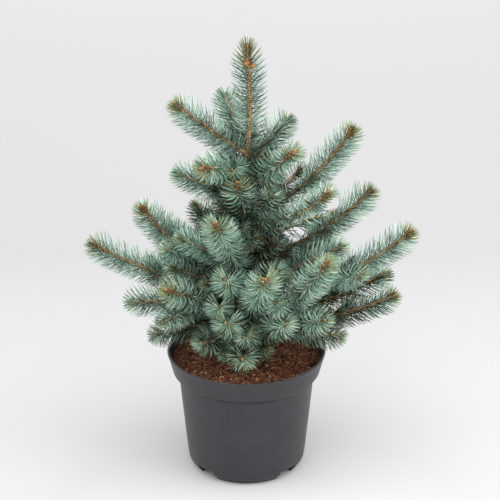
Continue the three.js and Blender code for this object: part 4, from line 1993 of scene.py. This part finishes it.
@dataclass
class Soil:
    """The filling: a rough bed of peat with crumbs, chips and fibres on it."""

    edge_radius: float = 89.4
    edge_height: float = 137.6
    crown_height: float = 140.4
    sides: int = 150
    top_rings: int = 56
    inmost: float = 1.6
    top_start: float = 0.13
    top_radius: float = 0.0885
    trunk_room: float = 0.018
    heap: tuple[float, float] = (-0.2, 0.9)
    crumb_spread: float = 0.42
    crumb_sizes: tuple[float, float] = (0.45, 3.0)
    crumb_sides: tuple[float, float] = (0.6, 1.25)
    fibre_reach: tuple[float, float] = (2.5, 7.5)
    fibre_bend: float = 0.3
    fibre_rise: tuple[float, float] = (0.2, 1.2)
    fibre_radii: tuple[float, float] = (0.26, 0.14)

    WALLS = ((0, 14.2), (62, 14.2), (69.6, 20.4), (79.0, 118.4), (86.0, 126.6))
    NOISES = (("heaps", 0.022, 2.6), ("clods", 0.006, 2.0), ("grit", 0.0022, 1.1))
    CRUMBS = Litter(3600, 2.4, 0, 1.0, (0, 1, 2, 3, 4), (0.24, 0.36, 0.26, 0.11, 0.03))
    CHIPS = Litter(330, 3.5, 0.9, 0.5, (2, 3, 4, 5, 6), (0.28, 0.34, 0.2, 0.1, 0.08))
    FIBRES = Litter(230, 6, 1.2, 0, (3, 4, 5, 6), (0.35, 0.35, 0.2, 0.1))
    CHIP_SIZES = ((0.8, 2.4), (0.4, 1.2), (0.15, 0.5))

    def surface(self, radius: Array) -> Array:
        """The bed's height at a distance from the axis."""
        share = np.clip(radius / self.edge_radius, 0, 1)
        return self.crown_height - (self.crown_height - self.edge_height) * share**2

    def build(self) -> list[Piece]:
        """Makes the bed and what lies on it."""
        return [self.bed(), self.litter()]

    def bed(self) -> Piece:
        """Makes the bed that fills the container.

        Returns:
            The piece.
        """
        radii = np.linspace(self.edge_radius, self.inmost, self.top_rings)
        top = [(r, float(self.surface(r))) for r in radii]
        profile = [*self.WALLS, *top, (0, self.crown_height)]
        piece = Bench.turned("soil_bed", profile, self.sides)
        chosen = [v.index for v in piece.data.vertices
                  if v.co.z > self.top_start and math.hypot(*v.co[:2]) < self.top_radius]
        piece.vertex_groups.new(name="top").add(chosen, 1.0, "REPLACE")
        for name, size, strength in self.NOISES:
            bpy.data.textures.new(name, "CLOUDS").noise_depth = 2
            Bench.raise_noise(piece, name, "CLOUDS", size, strength=strength * MM,
                              direction="Z", vertex_group="top")
        Bench.take(piece)
        bpy.ops.object.shade_smooth()
        Bench.dress(piece, SoilFinish().material())
        return placed(piece, "soil", "soil")

    def scatter(self, kind: Litter, random: Random) -> Array:
        """Places spread over the bed, away from the trunk.

        Args:
            kind: How this kind of litter lies.
            random: The seeded source of the places.

        Returns:
            The places, in millimetres.
        """
        radius = np.sqrt(random.uniform(self.trunk_room, 1, kind.count))
        radius = radius * (self.edge_radius - kind.edge)
        turn = random.uniform(0, 2 * math.pi, kind.count)
        height = self.surface(radius) + random.uniform(*self.heap, kind.count)
        return np.stack([radius * np.cos(turn), radius * np.sin(turn), height + kind.lift], 1)

    @staticmethod
    def spun(shape: Shape, places: Array, sizes: Array, random: Random, tilt: float) -> Array:
        """Copies of a shape, each turned, sized and put in its place.

        Args:
            shape: The shape.
            places: Where each copy's middle is.
            sizes: The three half sizes of each copy.
            random: The seeded source of their turns.
            tilt: The steepest lean in radians.

        Returns:
            The points of all copies.
        """
        turn = random.uniform(0, 2 * math.pi, len(places))
        lean = random.uniform(-tilt, tilt, (len(places), 2))
        first = unit(np.stack([np.cos(turn), np.sin(turn), lean[:, 0]], 1))
        rough = np.stack([-np.sin(turn), np.cos(turn), lean[:, 1]], 1)
        third = unit(np.cross(first, rough))
        axes = np.stack([first, np.cross(third, first), third], 1)
        local = shape.points[None] * sizes[:, None, :]
        return places[:, None, :] + np.einsum("nvk,nkj->nvj", local, axes)

    def litter(self) -> Piece:
        """Makes the crumbs, chips and fibres as one piece.

        Returns:
            The piece.
        """
        joined = Joined("soil_litter", SoilTone)
        random = np.random.default_rng(99)
        crumb = Shape.rough(
            "crumb_shape", 0.3, 5, bpy.ops.mesh.primitive_ico_sphere_add, subdivisions=1, radius=1)
        count = self.CRUMBS.count
        size = random.lognormal(0.0, self.crumb_spread, count)
        sides = random.uniform(*self.crumb_sides, (count, 3))
        sizes = np.clip(size, *self.crumb_sizes)[:, None] * sides
        self.strew(joined, crumb, self.CRUMBS, sizes, random)
        chip = Shape.rough("chip_shape", 0.35, 3, bpy.ops.mesh.primitive_cube_add, size=2)
        count = self.CHIPS.count
        sizes = np.stack([random.uniform(*span, count) for span in self.CHIP_SIZES], 1)
        self.strew(joined, chip, self.CHIPS, sizes, random)
        self.add_fibres(joined, random)
        return joined.piece("soil")

    def strew(
        self, joined: Joined, shape: Shape, kind: Litter, sizes: Array, random: Random
    ) -> None:
        """Adds one kind of litter.

        Args:
            joined: The heap that it goes into.
            shape: One bit's shape.
            kind: How it lies.
            sizes: The three half sizes of each bit.
            random: The seeded source of its places.
        """
        places = self.scatter(kind, random)
        tints = random.choice(kind.tones, (kind.count, 1), p=kind.shares)
        joined.add(self.spun(shape, places, sizes, random, kind.tilt), shape, tints)

    def add_fibres(self, joined: Joined, random: Random) -> None:
        """Adds thin fibres and rootlets that lie on the crumbs.

        Args:
            joined: The heap that they go into.
            random: The seeded source of their shapes and places.
        """
        kind, maker = self.FIBRES, Stems(spacing=3.5)
        for place in self.scatter(kind, random):
            turn = random.uniform(0, 2 * math.pi)
            reach = random.uniform(*self.fibre_reach)
            forth = compass(turn) * reach
            bend = random.normal(0, self.fibre_bend)
            aside = compass(turn + math.pi / 2) * bend * reach
            rise = UP * random.uniform(*self.fibre_rise)
            line = Path.bent(place - forth, place + aside + rise * 2, place + forth)
            tube = maker.tube(line, self.fibre_radii, 3)
            joined.add(tube.points, tube, random.choice(kind.tones, p=kind.shares))


# ---- Studio ----


@dataclass(frozen=True)
class Lamp:
    """A soft light: its place and its size in metres, and its power in watts."""

    name: str
    place: Triple
    size: tuple[float, float]
    power: float


@dataclass
class Studio:
    """A pale floor, soft light from both sides and above, and the camera."""

    camera_place: Triple = (0.0043, -1.8, 1.053)
    pitch: float = 23.29
    lens: float = 120.3
    sensor: float = 36
    target: Triple = (0, 0, 0.25)
    sky: float = 1.2
    floor_radius: float = 14
    floor_drop: float = 0.0004
    floor_depth: tuple[float, float] = (-1.0, 3.0)
    # A pool of painted light on the floor in front of the plant: its middle, the distances where it
    # ends and where it is full, and how much it brightens the floor.
    painted_light_place: Triple = (0.03, -0.2, 0.0)
    painted_light_reach: tuple[float, float] = (0.26, 0.05)
    painted_light_gain: float = 1.2

    # Painted shade on the floor: its tone by depth, darkest in a band behind the plant and paler
    # far away.
    PAINTED_FLOOR_SHADE = ((0.2, "#C6C6C7"), (0.29, "#C4C4C5"), (0.41, "#B9B9BA"), (0.8, "#CFCFD0"))
    LAMPS = (
        Lamp("left", (-1.5, -0.5, 1.0), (1.4, 1.8), 6),
        Lamp("right", (1.5, -0.4, 1.0), (1.4, 1.8), 15),
        Lamp("above", (0.0, -0.3, 1.9), (2.0, 2.0), 14),
        Lamp("front", (-0.3, -2.0, 1.6), (1.4, 1.0), 5),
    )

    def build(self) -> None:
        """Makes the floor, the lights and the camera."""
        self.floor()
        for lamp in self.LAMPS:
            self.light(lamp)
        self.world()
        self.camera()

    def floor(self) -> None:
        """Makes the wide floor, with painted shade in a band behind the plant and a painted pool of
        light in front of it.
        """
        piece = Bench.start(
            "floor", bpy.ops.mesh.primitive_circle_add,
            vertices=96, radius=self.floor_radius, fill_type="NGON",
            location=(0, 0, -self.floor_drop))
        Bench.settle(piece)
        material, nodes, shader = new_material("floor_paper")
        place = nodes.place()
        depth = nodes.spread(nodes.split(place, "Y"), *self.floor_depth)
        # Painted shade: the floor's colour follows its depth.
        tone = nodes.ramp(depth, self.PAINTED_FLOOR_SHADE)
        # Painted light: the floor's colour is raised round a spot in front of the plant, which
        # lightens the shadow there.
        sockets = {0: place, 1: self.painted_light_place}
        painted_light_distance = nodes.add("VectorMath", sockets, operation="DISTANCE").node.outputs["Value"]
        near = nodes.spread(painted_light_distance, *self.painted_light_reach, 1.0, self.painted_light_gain)
        nodes.fill(shader, {
            "Base Color": nodes.add("VectorMath", {0: tone, 1: near}, operation="MULTIPLY"),
            "Roughness": 0.9,
            "Specular IOR Level": 0.1,
        })
        Bench.dress(piece, material)

    def light(self, plan: Lamp) -> None:
        """Adds a soft light that looks at the plant.

        Args:
            plan: Its place, size and power.
        """
        Bench.clear()
        bpy.ops.object.light_add(type="AREA", location=plan.place)
        lamp = bpy.context.object
        lamp.name = f"light_{plan.name}"
        lamp.data.shape = "RECTANGLE"
        lamp.data.size, lamp.data.size_y = plan.size
        lamp.data.energy = plan.power
        away = Vector(self.target) - Vector(plan.place)
        lamp.rotation_euler = away.to_track_quat("-Z", "Y").to_euler()

    def world(self) -> None:
        """Fills the room with pale light."""
        scene = bpy.context.scene
        scene.world = bpy.data.worlds.new("room")
        scene.world.use_nodes = True
        back = scene.world.node_tree.nodes["Background"]
        back.inputs["Color"].default_value = (1.0, 1.0, 1.0, 1)
        back.inputs["Strength"].default_value = self.sky
        scene.view_settings.view_transform = "Standard"

    def camera(self) -> None:
        """Places the camera."""
        Bench.clear()
        bpy.ops.object.camera_add(location=self.camera_place)
        camera = bpy.context.object
        camera.rotation_euler = (math.radians(90 - self.pitch), 0, 0)
        camera.data.lens = self.lens
        camera.data.sensor_width = self.sensor
        camera.data.clip_end = 50
        bpy.context.scene.camera = camera


def main() -> None:
    """Builds the whole object and its studio, piece by piece."""
    logging.basicConfig(level=logging.INFO, format="%(message)s")
    crown = Crown()
    crown.grow()
    LOG.info("crown: %d shoots, %d boughs", len(crown.shoots), len(crown.boughs))
    shoots = crown.in_order(crown.shoots)
    pieces = [
        *Needles().build(crown.in_order(shoots + crown.boughs)),
        *Stems().build(shoots),
        *Bark().build(crown),
        Pot().build(),
        *Soil().build(),
    ]
    for piece in pieces:
        LOG.info("%s: %d faces", piece.name, len(piece.data.polygons))
    Studio().build()
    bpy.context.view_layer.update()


if __name__ == "__main__":
    main()
